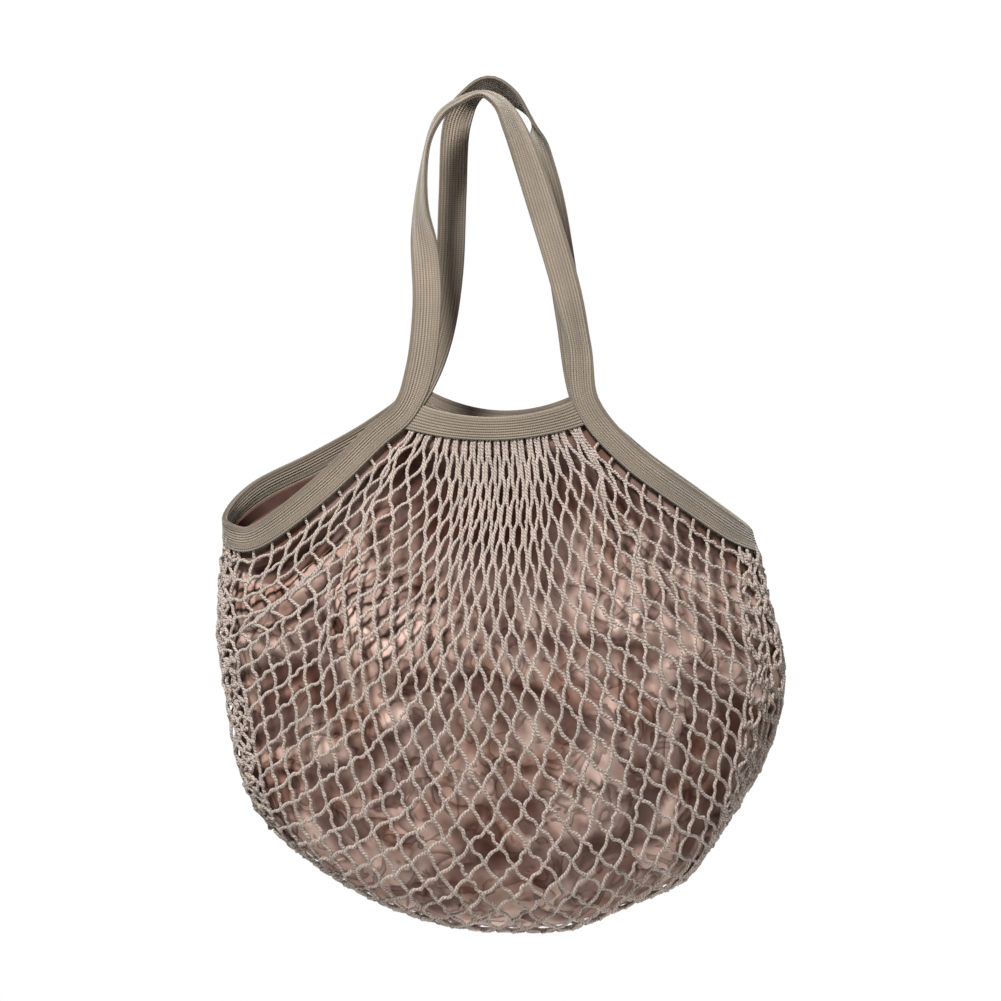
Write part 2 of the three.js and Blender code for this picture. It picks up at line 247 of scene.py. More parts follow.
@dataclass(frozen=True)
class TapePlaces:
    """The tape at a number of places along it."""

    edge: np.ndarray
    to_fold: np.ndarray
    face: np.ndarray
    bound: np.ndarray
    width: np.ndarray


@dataclass
class TapePath:
    """Where the tape runs and how it is turned."""

    strap_width: float = 23 * MM
    bound_width: float = 20.5 * MM

    def __post_init__(self) -> None:
        """Lay the tape's line, its facing and its hold on the net from the table."""
        facing, lift = np.radians(TAPE_ROWS[:, 3]), np.radians(TAPE_ROWS[:, 4])
        looks = np.stack(
            [np.sin(facing) * np.cos(lift), -np.cos(facing) * np.cos(lift), np.sin(lift)], axis=1
        )
        self.line = Loop(TAPE_ROWS[:, :3] * MM)
        self.looks = Loop(looks)
        self.hold = Loop(TAPE_ROWS[:, 5:])

    def at(self, place: np.ndarray) -> TapePlaces:
        """Describe the tape at places counted in rows of its table.

        Args:
            place: The places.

        Returns:
            Its open edge, the way to its fold, its outer face, its hold and its width there.
        """
        along = unit(self.line.slope(place))
        look = self.looks.at(place)
        face = unit(look - along * np.sum(look * along, axis=1, keepdims=True))
        to_fold = np.cross(face, along)
        bound = smooth(self.hold.at(place))
        width = lerp(self.strap_width, self.bound_width, bound)
        return TapePlaces(self.line.at(place) - to_fold * width / 2, to_fold, face, bound, width)

    def across(self, place: np.ndarray, reach: np.ndarray | float) -> np.ndarray:
        """Find points across the tape, by their reach from its open edge towards its fold."""
        found = self.at(place)
        return found.edge + found.to_fold * reach

    def spaced(self, first: float, last: float, shares: np.ndarray) -> np.ndarray:
        """Find places along the tape's open edge.

        Args:
            first: The row to start at.
            last: The row to end at.
            shares: How far along the stretch each place is, by its length.

        Returns:
            The places in rows.
        """
        fine = np.linspace(first, last, FINE_STEPS)
        reached = lengths_along(self.across(fine, 0.0))
        return np.interp(shares * reached[-1], reached, fine)


@dataclass
class BagForm:
    """The bag's shape as it hangs: the mouth between the tapes and a swelling panel on each side."""

    tape: TapePath
    gather: Span = (0.22, 0.78)
    binding_gap: float = 1.8 * MM
    drop: float = 8 * MM
    tuck: float = 3 * MM
    fullest: float = 0.58
    mouth_ease: float = 1.6
    mouth_fade: float = 0.75
    swell_ease: float = 1.3

    def __post_init__(self) -> None:
        """Lay the outlines that each panel hangs between."""
        self.outlines = {panel.side: self._outlines(panel) for panel in PANELS}

    def _outlines(self, panel: Panel) -> tuple[Outline, Outline, Outline]:
        """Lay the left, right and bottom outline of a panel."""
        laid = []
        for across, table in ((0.0, LEFT_OUTLINE), (1.0, RIGHT_OUTLINE), (None, BOTTOM_OUTLINE)):
            points = np.array([(x, 0.0, z) for x, z in table]) * MM
            if across is not None:
                points = np.vstack([self.mouth(panel, np.array([across]), -self.drop), points])
            laid.append(Outline(points))
        return tuple(laid)

    def binding(self, panel: Panel, share: np.ndarray) -> tuple[np.ndarray, np.ndarray]:
        """Find the lower and upper edge of a panel's binding.

        Args:
            panel: The panel whose gathered top it edges.
            share: Places along the binding, 0 and 1 where it meets the tapes.

        Returns:
            The points on its foot and on its head.
        """
        swell = (4.0 * share * (1.0 - share))[:, None] * np.array([0.0, panel.bow, -panel.sag])
        edges = []
        for rows in (panel.binding_foot, panel.binding_head):
            ends = self.tape.across(np.array(rows), -self.binding_gap)
            edges.append(lerp(ends[0], ends[1], share[:, None]) + swell)
        return edges[0], edges[1]

    def mouth(self, panel: Panel, across: np.ndarray, reach: np.ndarray | float) -> np.ndarray:
        """Find points along a panel's mouth.

        Args:
            panel: The panel.
            across: Shares of the panel's width, from the left.
            reach: How far up into the tape or binding, below zero where under it.

        Returns:
            The points, one row each.
        """
        left, right = self.gather
        foot, head = self.binding(panel, (across - left) / (right - left))
        gathered = foot + unit(head - foot) * reach
        left_rows = lerp(panel.corners[0], panel.binding_foot[0], across / left)
        right_rows = lerp(panel.corners[1], panel.binding_foot[1], (1.0 - across) / (1.0 - right))
        edged = self.tape.across(np.where(across < (left + right) / 2, left_rows, right_rows), reach)
        under = (across > left) & (across < right)
        return np.where(under[:, None], gathered, edged)

    def surface(self, panel: Panel, across: np.ndarray, down: np.ndarray) -> np.ndarray:
        """Find points on a panel.

        Args:
            panel: The panel.
            across: Shares of its width, from the left.
            down: Shares of its height, from the mouth; -1 to 0 is the margin tucked into the tapes.

        Returns:
            The points, one row each.
        """
        left, right, bottom = self.outlines[panel.side]
        margin = np.clip(-down, 0.0, 1.0)[:, None]
        down = np.clip(down, 0.0, 1.0)
        spread = ((1.0 - np.cos(math.pi * across)) / 2.0)[:, None]
        lower = np.clip((down - self.fullest) / (1.0 - self.fullest), 0.0, None)
        eased = self.fullest + (1.0 - self.fullest) * np.sin(math.pi / 2 * lower)
        fall = np.where(down < self.fullest, down, eased)
        mouth = self.mouth(panel, across, -self.drop)
        top = lerp(left.points[0], right.points[0], spread)
        low = lerp(left.points[-1], right.points[-1], spread)
        patch = lerp(left.at(fall), right.at(fall), spread)
        patch += (mouth - top) * ((1.0 - fall) ** self.mouth_ease)[:, None]
        patch += (bottom.at(spread[:, 0]) - low) * fall[:, None]
        rise = np.sin(math.pi / 2 * np.minimum(1.0, down / self.fullest)) ** self.swell_ease
        swell = panel.bulge * np.sin(math.pi * across) * rise * np.cos(math.pi / 2 * lower)
        patch[:, 1] = mouth[:, 1] * (1.0 - smooth(fall / self.mouth_fade)) + swell
        tucked = self.mouth(panel, across, lerp(-self.drop, self.tuck, margin))
        return np.where(margin > 0.0, tucked, patch)

    def grid(self, panel: Panel, columns: int, rows: int, margin: int = 0) -> np.ndarray:
        """Lay a grid of points over a panel.

        Args:
            panel: The panel.
            columns: Steps across it.
            rows: Steps down it.
            margin: Steps down the margin above it.

        Returns:
            The points, as rows by columns by axes.
        """
        steps = np.linspace(0.0, 1.0, rows + 1)
        if margin:
            steps = np.concatenate([np.linspace(-1.0, 0.0, margin, endpoint=False), steps])
        across, down = np.meshgrid(np.linspace(0.0, 1.0, columns + 1), steps)
        points = self.surface(panel, across.ravel(), down.ravel())
        return points.reshape(len(steps), columns + 1, 3)


@dataclass
class Skin:
    """A mesh in the making: points, faces and the places of its corners on a flat pattern."""

    points: list[np.ndarray] = field(default_factory=list)
    faces: list[np.ndarray] = field(default_factory=list)
    corners: list[np.ndarray] = field(default_factory=list)
    count: int = 0

    def add_rings(self, rings: np.ndarray, around: np.ndarray, along: np.ndarray,
                  endless: bool) -> None:
        """Join rings of points into a tube.

        Args:
            rings: The points, as rings by points by axes.
            around: Where each point of a ring lies around the tube, with one more to close it.
            along: Where each ring lies along the tube, with one more if the tube is endless.
            endless: True if the last ring joins the first, and otherwise the ends are capped.
        """
        total, sides = rings.shape[:2]
        last = total if endless else total - 1
        ring, side = np.meshgrid(np.arange(last), np.arange(sides), indexing="ij")
        ring1, side1 = (ring + 1) % total, (side + 1) % sides
        quads = [ring * sides + side, ring * sides + side1, ring1 * sides + side1, ring1 * sides + side]
        self.faces.append(np.stack(quads, axis=-1).reshape(-1, 4) + self.count)
        turns = [around[side], around[side + 1], around[side + 1], around[side]]
        runs = [along[ring], along[ring], along[ring + 1], along[ring + 1]]
        flat = np.stack([np.stack(turns, axis=-1), np.stack(runs, axis=-1)], axis=-1)
        self.corners.append(flat.reshape(-1, 2))
        if not endless:
            for first, order in ((0, np.arange(sides)[::-1]), ((total - 1) * sides, np.arange(sides))):
                self.faces.append((order + first + self.count)[None, :])
                self.corners.append(np.stack([around[order], np.full(sides, along[0])], axis=-1))
        self.points.append(rings.reshape(-1, 3))
        self.count += total * sides

    def piece(self, name: str, material: bpy.types.Material) -> bpy.types.Object:
        """Make the mesh into a smooth piece of the scene.

        Args:
            name: The piece's name.
            material: Its finish.

        Returns:
            The new object.
        """
        mesh = bpy.data.meshes.new(name)
        faces = [face for block in self.faces for face in block.tolist()]
        mesh.from_pydata(np.vstack(self.points).tolist(), [], faces)
        flat = mesh.uv_layers.new(name="flat")
        flat.data.foreach_set("uv", np.vstack(self.corners).astype(np.float32).ravel())
        shaped = bmesh.new()
        shaped.from_mesh(mesh)
        bmesh.ops.recalc_face_normals(shaped, faces=shaped.faces)
        shaped.to_mesh(mesh)
        shaped.free()
        mesh.polygons.foreach_set("use_smooth", np.ones(len(mesh.polygons), dtype=bool))
        mesh.materials.append(material)
        made = bpy.data.objects.new(name, mesh)
        bpy.context.scene.collection.objects.link(made)
        return made


class Recipe:
    """A material's nodes, added one by one."""

    def __init__(self, name: str) -> None:
        """Start a material with its shader and output in place.

        Args:
            name: The material's name.
        """
        self.material = bpy.data.materials.new(name)
        self.material.use_nodes = True
        self.tree = self.material.node_tree
        self.shader = self.tree.nodes["Principled BSDF"]

    def add(self, kind: str, inputs: dict[str | int, object] | None = None,
            **settings: object) -> bpy.types.Node:
        """Add a node.

        Args:
            kind: The node's type, without its usual beginning.
            inputs: Values or sockets for its inputs, by name or number.
            **settings: The node's own settings.

        Returns:
            The new node.
        """
        node = self.tree.nodes.new("ShaderNode" + kind)
        for setting, value in settings.items():
            setattr(node, setting, value)
        for socket, value in (inputs or {}).items():
            self.give(node.inputs[socket], value)
        return node

    def give(self, socket: bpy.types.NodeSocket, value: object) -> None:
        """Link a socket to another, or set its value."""
        if isinstance(value, bpy.types.NodeSocket):
            self.tree.links.new(value, socket)
        else:
            socket.default_value = value

    def sum(self, operation: str, *values: object) -> bpy.types.NodeSocket:
        """Work out one number from others."""
        return self.add("Math", dict(enumerate(values)), operation=operation).outputs[0]

    def spread(self, value: object, low: float, high: float) -> bpy.types.NodeSocket:
        """Stretch the range from low to high over 0 to 1, held at its ends."""
        inputs = {"Value": value, "From Min": low, "From Max": high}
        return self.add("MapRange", inputs).outputs["Result"]

    def blend(self, share: object, first: object, second: object,
              how: str = "MIX") -> bpy.types.NodeSocket:
        """Blend two colours by a share."""
        node = self.add("Mix", {0: share, 6: first, 7: second}, data_type="RGBA", blend_type=how)
        return node.outputs[2]

    def noise(self, place: bpy.types.NodeSocket, scale: float, detail: float = 3.0,
              distortion: float = 0.0) -> bpy.types.NodeSocket:
        """Add a soft cloudy pattern of a given scale."""
        inputs = {"Vector": place, "Scale": scale, "Detail": detail, "Distortion": distortion}
        return self.add("TexNoise", inputs).outputs["Fac"]

    def times(self, first: object, second: object) -> bpy.types.NodeSocket:
        """Multiply two numbers."""
        return self.sum("MULTIPLY", first, second)

    def flat(self) -> tuple[bpy.types.NodeSocket, bpy.types.NodeSocket]:
        """Give the two places on the piece's flat pattern."""
        parts = self.add("SeparateXYZ", {0: self.add("UVMap", uv_map="flat").outputs["UV"]})
        return parts.outputs["X"], parts.outputs["Y"]

    def solid(self) -> bpy.types.NodeSocket:
        """Give the place in the piece itself."""
        return self.add("TexCoord").outputs["Object"]

    def relief(self, height: object, strength: float, depth: float) -> None:
        """Raise the surface by a height pattern."""
        bump = self.add("Bump", {"Height": height, "Strength": strength, "Distance": depth})
        self.give(self.shader.inputs["Normal"], bump.outputs["Normal"])

    def finish(self, **values: object) -> bpy.types.Material:
        """Set the shader's own sockets and give the material."""
        for socket, value in values.items():
            self.give(self.shader.inputs[socket.replace("_", " ")], value)
        return self.material


@dataclass(frozen=True)
class KnitCotton:
    """Ribbed knit cotton tape: V-shaped stitches in lengthwise ribs, with painted shade in the grooves,
    between the stitches and along its edges.
    """

    light: Colour = (0.34, 0.280, 0.216, 1.0)
    dark: Colour = (0.08, 0.062, 0.044, 1.0)
    rib: float = 2.45 * MM
    stitch: float = 1.5 * MM
    width: float = 23 * MM
    fold: float = 3.2 * MM
    lean: float = 1.1
    groove_span: Span = (0.22, 0.48)
    # Painted shade: how dark the rib grooves are painted, and where and how dark the painted shade along
    # the face's edges is.
    groove_painted_shade: float = 0.78
    edge_shade_start: float = 0.8
    edge_shade_strength: float = 0.6
    fluff_scale: float = 900.0
    fluff_share: float = 1.6
    loop_span: Span = (-0.9, 1.9)
    loop_light: float = 0.9
    loop_height: float = 0.7
    worn_scale: float = 22.0
    worn_detail: float = 2.0
    worn_span: Span = (0.35, 0.7)
    worn_tones: tuple[Colour, Colour] = ((0.86, 0.86, 0.84, 1.0), (1.1, 1.07, 1.04, 1.0))
    relief: float = 0.9
    relief_depth: float = 0.45 * MM
    roughness: float = 0.94
    specular: float = 0.15
    sheen: float = 0.35
    sheen_roughness: float = 0.55

    def material(self) -> bpy.types.Material:
        """Mix the finish."""
        mix = Recipe("knit_cotton")
        across, along = mix.flat()
        rib = mix.sum("FRACT", mix.sum("DIVIDE", across, self.rib))
        off = mix.sum("ABSOLUTE", mix.sum("SUBTRACT", rib, 0.5))
        phase = mix.sum("ADD", mix.sum("DIVIDE", along, self.stitch), mix.times(off, self.lean))
        stitch = mix.sum("SINE", mix.times(phase, TURN))
        groove = mix.spread(off, *self.groove_span)
        middle = self.width / 2 / (self.width + self.fold)
        face = mix.sum("FRACT", mix.sum("DIVIDE", across, self.width + self.fold))
        from_middle = mix.sum("ABSOLUTE", mix.sum("SUBTRACT", face, middle))
        # Painted shade along both edges of the tape's face, by the open edge and by the fold.
        edge_shade = mix.spread(from_middle, self.edge_shade_start * middle, middle)
        fluff = mix.noise(mix.solid(), self.fluff_scale)
        worn = mix.noise(mix.solid(), self.worn_scale, self.worn_detail)
        loop = mix.spread(mix.sum("ADD", stitch, mix.times(fluff, self.fluff_share)), *self.loop_span)
        # Stitch loops lighter and the hollows between them darker: painted shade, mixed with random
        # fibre tone from the fluff.
        shade = mix.blend(mix.times(loop, self.loop_light), self.dark, self.light)
        # Painted shade in the grooves between the ribs.
        shade = mix.blend(mix.times(groove, self.groove_painted_shade), shade, self.dark)
        shade = mix.blend(mix.times(edge_shade, self.edge_shade_strength), shade, self.dark)
        warm = mix.blend(mix.spread(worn, *self.worn_span), *self.worn_tones)
        shade = mix.blend(1.0, shade, warm, "MULTIPLY")
        height = mix.sum("SUBTRACT", mix.times(loop, self.loop_height), groove)
        mix.relief(height, self.relief, self.relief_depth)
        return mix.finish(
            Base_Color=shade, Roughness=self.roughness, Specular_IOR_Level=self.specular,
            Sheen_Weight=self.sheen, Sheen_Roughness=self.sheen_roughness,
        )


@dataclass(frozen=True)
class TwistedCotton:
    """Soft cotton cord of two twisted plies, painted darker in the valleys between them."""

    light: Colour = (0.52, 0.424, 0.366, 1.0)
    dark: Colour = (0.17, 0.125, 0.098, 1.0)
    twist: float = 2.8 * MM
    plies: float = 2.0
    ply_height: float = 0.6
    fluff_scale: float = 900.0
    fluff_height: float = 3.2
    height_span: Span = (0.6, 2.6)
    patch_scale: float = 60.0
    patch_detail: float = 2.0
    patch_span: Span = (0.3, 0.7)
    patch_tones: tuple[Colour, Colour] = ((0.84, 0.83, 0.82, 1.0), (1.1, 1.09, 1.08, 1.0))
    relief: float = 0.9
    relief_depth: float = 0.4 * MM
    roughness: float = 0.95
    specular: float = 0.12
    sheen: float = 0.4
    sheen_roughness: float = 0.6

    def material(self) -> bpy.types.Material:
        """Mix the finish."""
        mix = Recipe("twisted_cotton")
        around, along = mix.flat()
        wound = mix.sum("ADD", mix.times(around, self.plies), mix.sum("DIVIDE", along, self.twist))
        ply = mix.sum("SINE", mix.times(wound, TURN))
        fluff = mix.noise(mix.solid(), self.fluff_scale)
        patch = mix.noise(mix.solid(), self.patch_scale, self.patch_detail)
        height = mix.sum("ADD", mix.times(ply, self.ply_height), mix.times(fluff, self.fluff_height))
        # Plies lighter on their crests and darker in the valleys between them: painted shade, mixed with
        # random fibre tone from the fluff.
        shade = mix.blend(mix.spread(height, *self.height_span), self.dark, self.light)
        tone = mix.blend(mix.spread(patch, *self.patch_span), *self.patch_tones)
        shade = mix.blend(1.0, shade, tone, "MULTIPLY")
        mix.relief(height, self.relief, self.relief_depth)
        return mix.finish(
            Base_Color=shade, Roughness=self.roughness, Specular_IOR_Level=self.specular,
            Sheen_Weight=self.sheen, Sheen_Roughness=self.sheen_roughness,
        )


@dataclass(frozen=True)
class SoftSatin:
    """Thin satin with a soft lustre and fine creases.

    Each entry of folds is a size of crease, as the scale of its pattern and how dark its painted shadow
    band is.
    """

    light: Colour = (0.60, 0.436, 0.372, 1.0)
    dark: Colour = (0.28, 0.158, 0.118, 1.0)
    # Colour that painted shade darkens the satin towards.
    deep: Colour = (0.036, 0.006, 0.002, 1.0)
    # Painted shadow bands along noise creases, each with a bump: the scale of the pattern and how dark
    # the band is painted.
    folds: tuple[Span, ...] = ((15.0, 0.75), (36.0, 0.65))
    fold_detail: float = 2.0
    fold_sway: float = 1.1
    fold_rise: Span = (0.0, 0.03)
    fold_fall: Span = (0.16, 0.02)
    fold_height: float = 4.0
    # Painted fold bands fade out where the painted shade is already dark.
    lit_span: Span = (0.75, 0.35)
    cloud_scale: float = 24.0
    cloud_span: Span = (0.36, 0.62)
    weave_scale: float = 2400.0
    weave_detail: float = 1.0
    weave_height: float = 0.04
    relief: float = 0.6
    relief_depth: float = 3.0 * MM
    roughness: Span = (0.56, 0.68)
    specular: float = 0.14

    def material(self) -> bpy.types.Material:
        """Mix the finish."""
        mix = Recipe("soft_satin")
        place = mix.solid()
        clouds = mix.noise(place, self.cloud_scale)
        shade = mix.blend(mix.spread(clouds, *self.cloud_span), self.dark, self.light)
        # Painted shade baked into the mesh, in folds, under the gather and tapes and on the inner face.
        painted_shade = mix.add("Attribute", attribute_name=PAINTED_SHADE).outputs["Fac"]
        height = mix.times(mix.noise(place, self.weave_scale, self.weave_detail), self.weave_height)
        lit = mix.spread(painted_shade, *self.lit_span)
        # Paint a shadow band along one side of each noise crease.
        for scale, share in self.folds:
            sway = mix.noise(place, scale, self.fold_detail, self.fold_sway)
            swing = mix.sum("SUBTRACT", sway, 0.5)
            tucked = mix.times(mix.spread(swing, *self.fold_rise), mix.spread(swing, *self.fold_fall))
            tucked = mix.times(tucked, lit)
            shade = mix.blend(mix.times(tucked, share), shade, self.deep)
            height = mix.sum("SUBTRACT", height, mix.times(tucked, self.fold_height / scale))
        # Paint the mesh's painted shade into the colour; it roughens the satin as well.
        shade = mix.blend(painted_shade, shade, self.deep)
        mix.relief(height, self.relief, self.relief_depth)
        smoothest, roughest = self.roughness
        rough = mix.add("MapRange", {"Value": clouds, "To Min": smoothest, "To Max": roughest})
        rough = mix.sum("ADD", rough.outputs["Result"], painted_shade)
        return mix.finish(Base_Color=shade, Roughness=rough, Specular_IOR_Level=self.specular)


@dataclass(frozen=True)
class PaleFloor:
    """Matt pale studio floor that fades out into the white background."""

    size: float
    colour: Colour = (0.9, 0.9, 0.89, 1.0)
    spot: Colour = (0.93, 0.93, 0.92, 1.0)
    fade: Span = (0.35, 0.95)
    grain_scale: float = 3.0
    grain_span: Span = (0.2, 0.8)
    roughness: float = 0.9
    specular: float = 0.1

    def material(self) -> bpy.types.Material:
        """Mix the finish."""
        mix = Recipe("pale_floor")
        place = mix.solid()
        grain = mix.noise(place, self.grain_scale)
        shade = mix.blend(mix.spread(grain, *self.grain_span), self.colour, self.spot)
        away = mix.add("VectorMath", {0: place}, operation="LENGTH").outputs["Value"]
        faded = mix.add("MapRange", {
            "Value": away, "From Min": self.fade[0] * self.size, "From Max": self.fade[1] * self.size,
            "To Min": 1.0, "To Max": 0.0,
        }, interpolation_type="SMOOTHSTEP").outputs["Result"]
        return mix.finish(
            Base_Color=shade, Roughness=self.roughness, Specular_IOR_Level=self.specular, Alpha=faded
        )


@dataclass
class FoldedBand:
    """The section of a tape that is folded lengthwise: ribbed faces, a round fold, an open edge."""

    ribs: int = 8
    rib_steps: int = 6
    rib_height: float = 0.55 * MM
    rib_roundness: float = 0.7
    fold_ribs: float = 2.0
    fold_steps: int = 10

    def _bulge(self, angle: np.ndarray) -> np.ndarray:
        """Tell how far the face lies below the top of its ribs."""
        return self.rib_height * (np.abs(np.sin(angle)) ** self.rib_roundness - 1.0)

    def section(self, width: np.ndarray, thickness: np.ndarray, slot: np.ndarray,
                slot_depth: np.ndarray) -> tuple[np.ndarray, np.ndarray]:
        """Work out the section at a number of stations.

        Args:
            width: The band's width at each station, from its open edge to its fold.
            thickness: Its thickness at each station.
            slot: How far its layers stand apart at the open edge.
            slot_depth: How deep the layers part.

        Returns:
            How far across and how far out each point lies, as stations by points.
        """
        width, half = width[:, None], thickness[:, None] / 2
        slot, slot_depth = slot[:, None] / 2, slot_depth[:, None]
        share = np.linspace(0.0, 1.0, self.ribs * self.rib_steps + 1)[None, :]
        bulge = self._bulge(math.pi * self.ribs * share)
        face_across = share * (width - half)
        face_out = half + bulge
        bend = np.linspace(math.pi / 2, -math.pi / 2, self.fold_steps + 2)[None, 1:-1]
        fold_bulge = half + self._bulge(self.fold_ribs * bend)
        fold_across = width - half + fold_bulge * np.cos(bend)
        fold_out = fold_bulge * np.sin(bend)
        nothing = np.zeros_like(slot)
        slot_across = np.hstack([nothing, slot_depth, slot_depth, nothing])
        slot_out = np.hstack([-slot, -slot, slot, slot])
        across = np.hstack([face_across, fold_across, face_across[:, ::-1], slot_across])
        out = np.hstack([face_out, fold_out, -face_out[:, ::-1], slot_out])
        return across, out

    def flat_places(self, width: float, thickness: float) -> np.ndarray:
        """Unroll the section: where each of its points lies across the flat tape."""
        one = np.array([1.0])
        across, out = self.section(one * width, one * thickness, one * MM, one * MM)
        ring = np.stack([across[0], out[0]], axis=1)
        face = np.linspace(0.0, width, self.ribs * self.rib_steps + 1)
        fold = width + np.linspace(0.0, thickness, self.fold_steps + 2)[1:-1]
        rest = lengths_along(ring[-SLOT_POINTS - 1:])[1:]
        flat = np.concatenate([face, fold, width + thickness + face, 2 * width + thickness + rest])
        return np.append(flat, flat[-1] + thickness / 2)


@dataclass
class HandleTape:
    """The endless folded tape that edges the mouth and makes both handles."""

    path: TapePath
    band: FoldedBand
    step: float = 4 * MM
    fine_steps: int = 4000
    strap_thickness: float = 3.2 * MM
    bound_thickness: float = 5.0 * MM
    strap_slot: float = 0.5 * MM
    bound_slot: float = 2.8 * MM
    strap_slot_depth: float = 2 * MM
    bound_slot_depth: float = 12 * MM

    def build(self, finish: bpy.types.Material) -> bpy.types.Object:
        """Make the tape.

        Args:
            finish: The tape's material.

        Returns:
            The tape, in place of its solid.
        """
        rows = len(TAPE_ROWS)
        fine = np.linspace(0.0, rows, self.fine_steps)
        reached = lengths_along(self.path.line.at(fine))
        count = round(reached[-1] / self.step)
        along = np.linspace(0.0, reached[-1], count + 1)
        found = self.path.at(np.interp(along[:-1], reached, fine))
        bound = found.bound[:, 0]
        across, out = self.band.section(
            found.width[:, 0],
            lerp(self.strap_thickness, self.bound_thickness, bound),
            lerp(self.strap_slot, self.bound_slot, bound),
            lerp(self.strap_slot_depth, self.bound_slot_depth, bound),
        )
        rings = found.edge[:, None] + found.to_fold[:, None] * across[..., None]
        rings = rings + found.face[:, None] * out[..., None]
        skin = Skin()
        around = self.band.flat_places(self.path.strap_width, self.strap_thickness)
        skin.add_rings(rings, around, along, endless=True)
        piece = skin.piece("tape_loop", finish)
        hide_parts("handle_tape")
        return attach(piece, BODY)


@dataclass
class Binding:
    """The short folded tape over the gathered top of a panel, its ends sewn into the handle tape."""

    form: BagForm
    band: FoldedBand
    step: float = 3 * MM
    thickness: float = 4.6 * MM
    end_thickness: float = 2.4 * MM
    slot: float = 2.4 * MM
    least_slot: float = 0.4 * MM
    slot_depth: float = 10 * MM
    tuck: float = 7 * MM
    press: float = 0.12

    def build(self, panel: Panel, finish: bpy.types.Material) -> bpy.types.Object:
        """Make the binding of one panel.

        Args:
            panel: The panel whose top it edges.
            finish: The binding's material.

        Returns:
            The binding, in place of its solid.
        """
        ends = self.form.tape.across(np.array(panel.binding_foot), 0.0)
        length = np.linalg.norm(ends[1] - ends[0])
        tucked = self.tuck / length
        share = np.linspace(-tucked, 1.0 + tucked, round(length / self.step))
        foot, head = self.form.binding(panel, share)
        up = unit(head - foot)
        beside = unit(np.gradient(foot, axis=0))
        out_way = unit(np.cross(up, beside))
        if out_way[0, 1] * panel.bulge < 0:
            out_way = -out_way
        pressed = smooth((np.minimum(share, 1.0 - share) + tucked) / self.press)
        thick = lerp(self.end_thickness, self.thickness, pressed)
        same = np.ones_like(share)
        width = np.linalg.norm(head - foot, axis=1)
        across, out = self.band.section(
            width, thick, self.slot * pressed + self.least_slot, self.slot_depth * same
        )
        rings = foot[:, None] + up[:, None] * across[..., None] + out_way[:, None] * out[..., None]
        skin = Skin()
        around = self.band.flat_places(float(width.mean()), self.thickness)
        skin.add_rings(rings, around, lengths_along(foot), endless=False)
        piece = skin.piece(f"{panel.side.value}_band", finish)
        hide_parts(f"{panel.side.value}_binding")
        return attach(piece, BODY)


@dataclass
class Lattice:
    """The net's crossings as they lie, by panel and by their count down-left and down-right."""

    places: dict[tuple[str, int, int], int]
    points: np.ndarray
    normals: np.ndarray


@dataclass(frozen=True)
class Crossing:
    """One crossing of two cords."""

    spot: np.ndarray
    out: np.ndarray
    down: np.ndarray
    room: float
    close: float
    cord: float
    joint: float


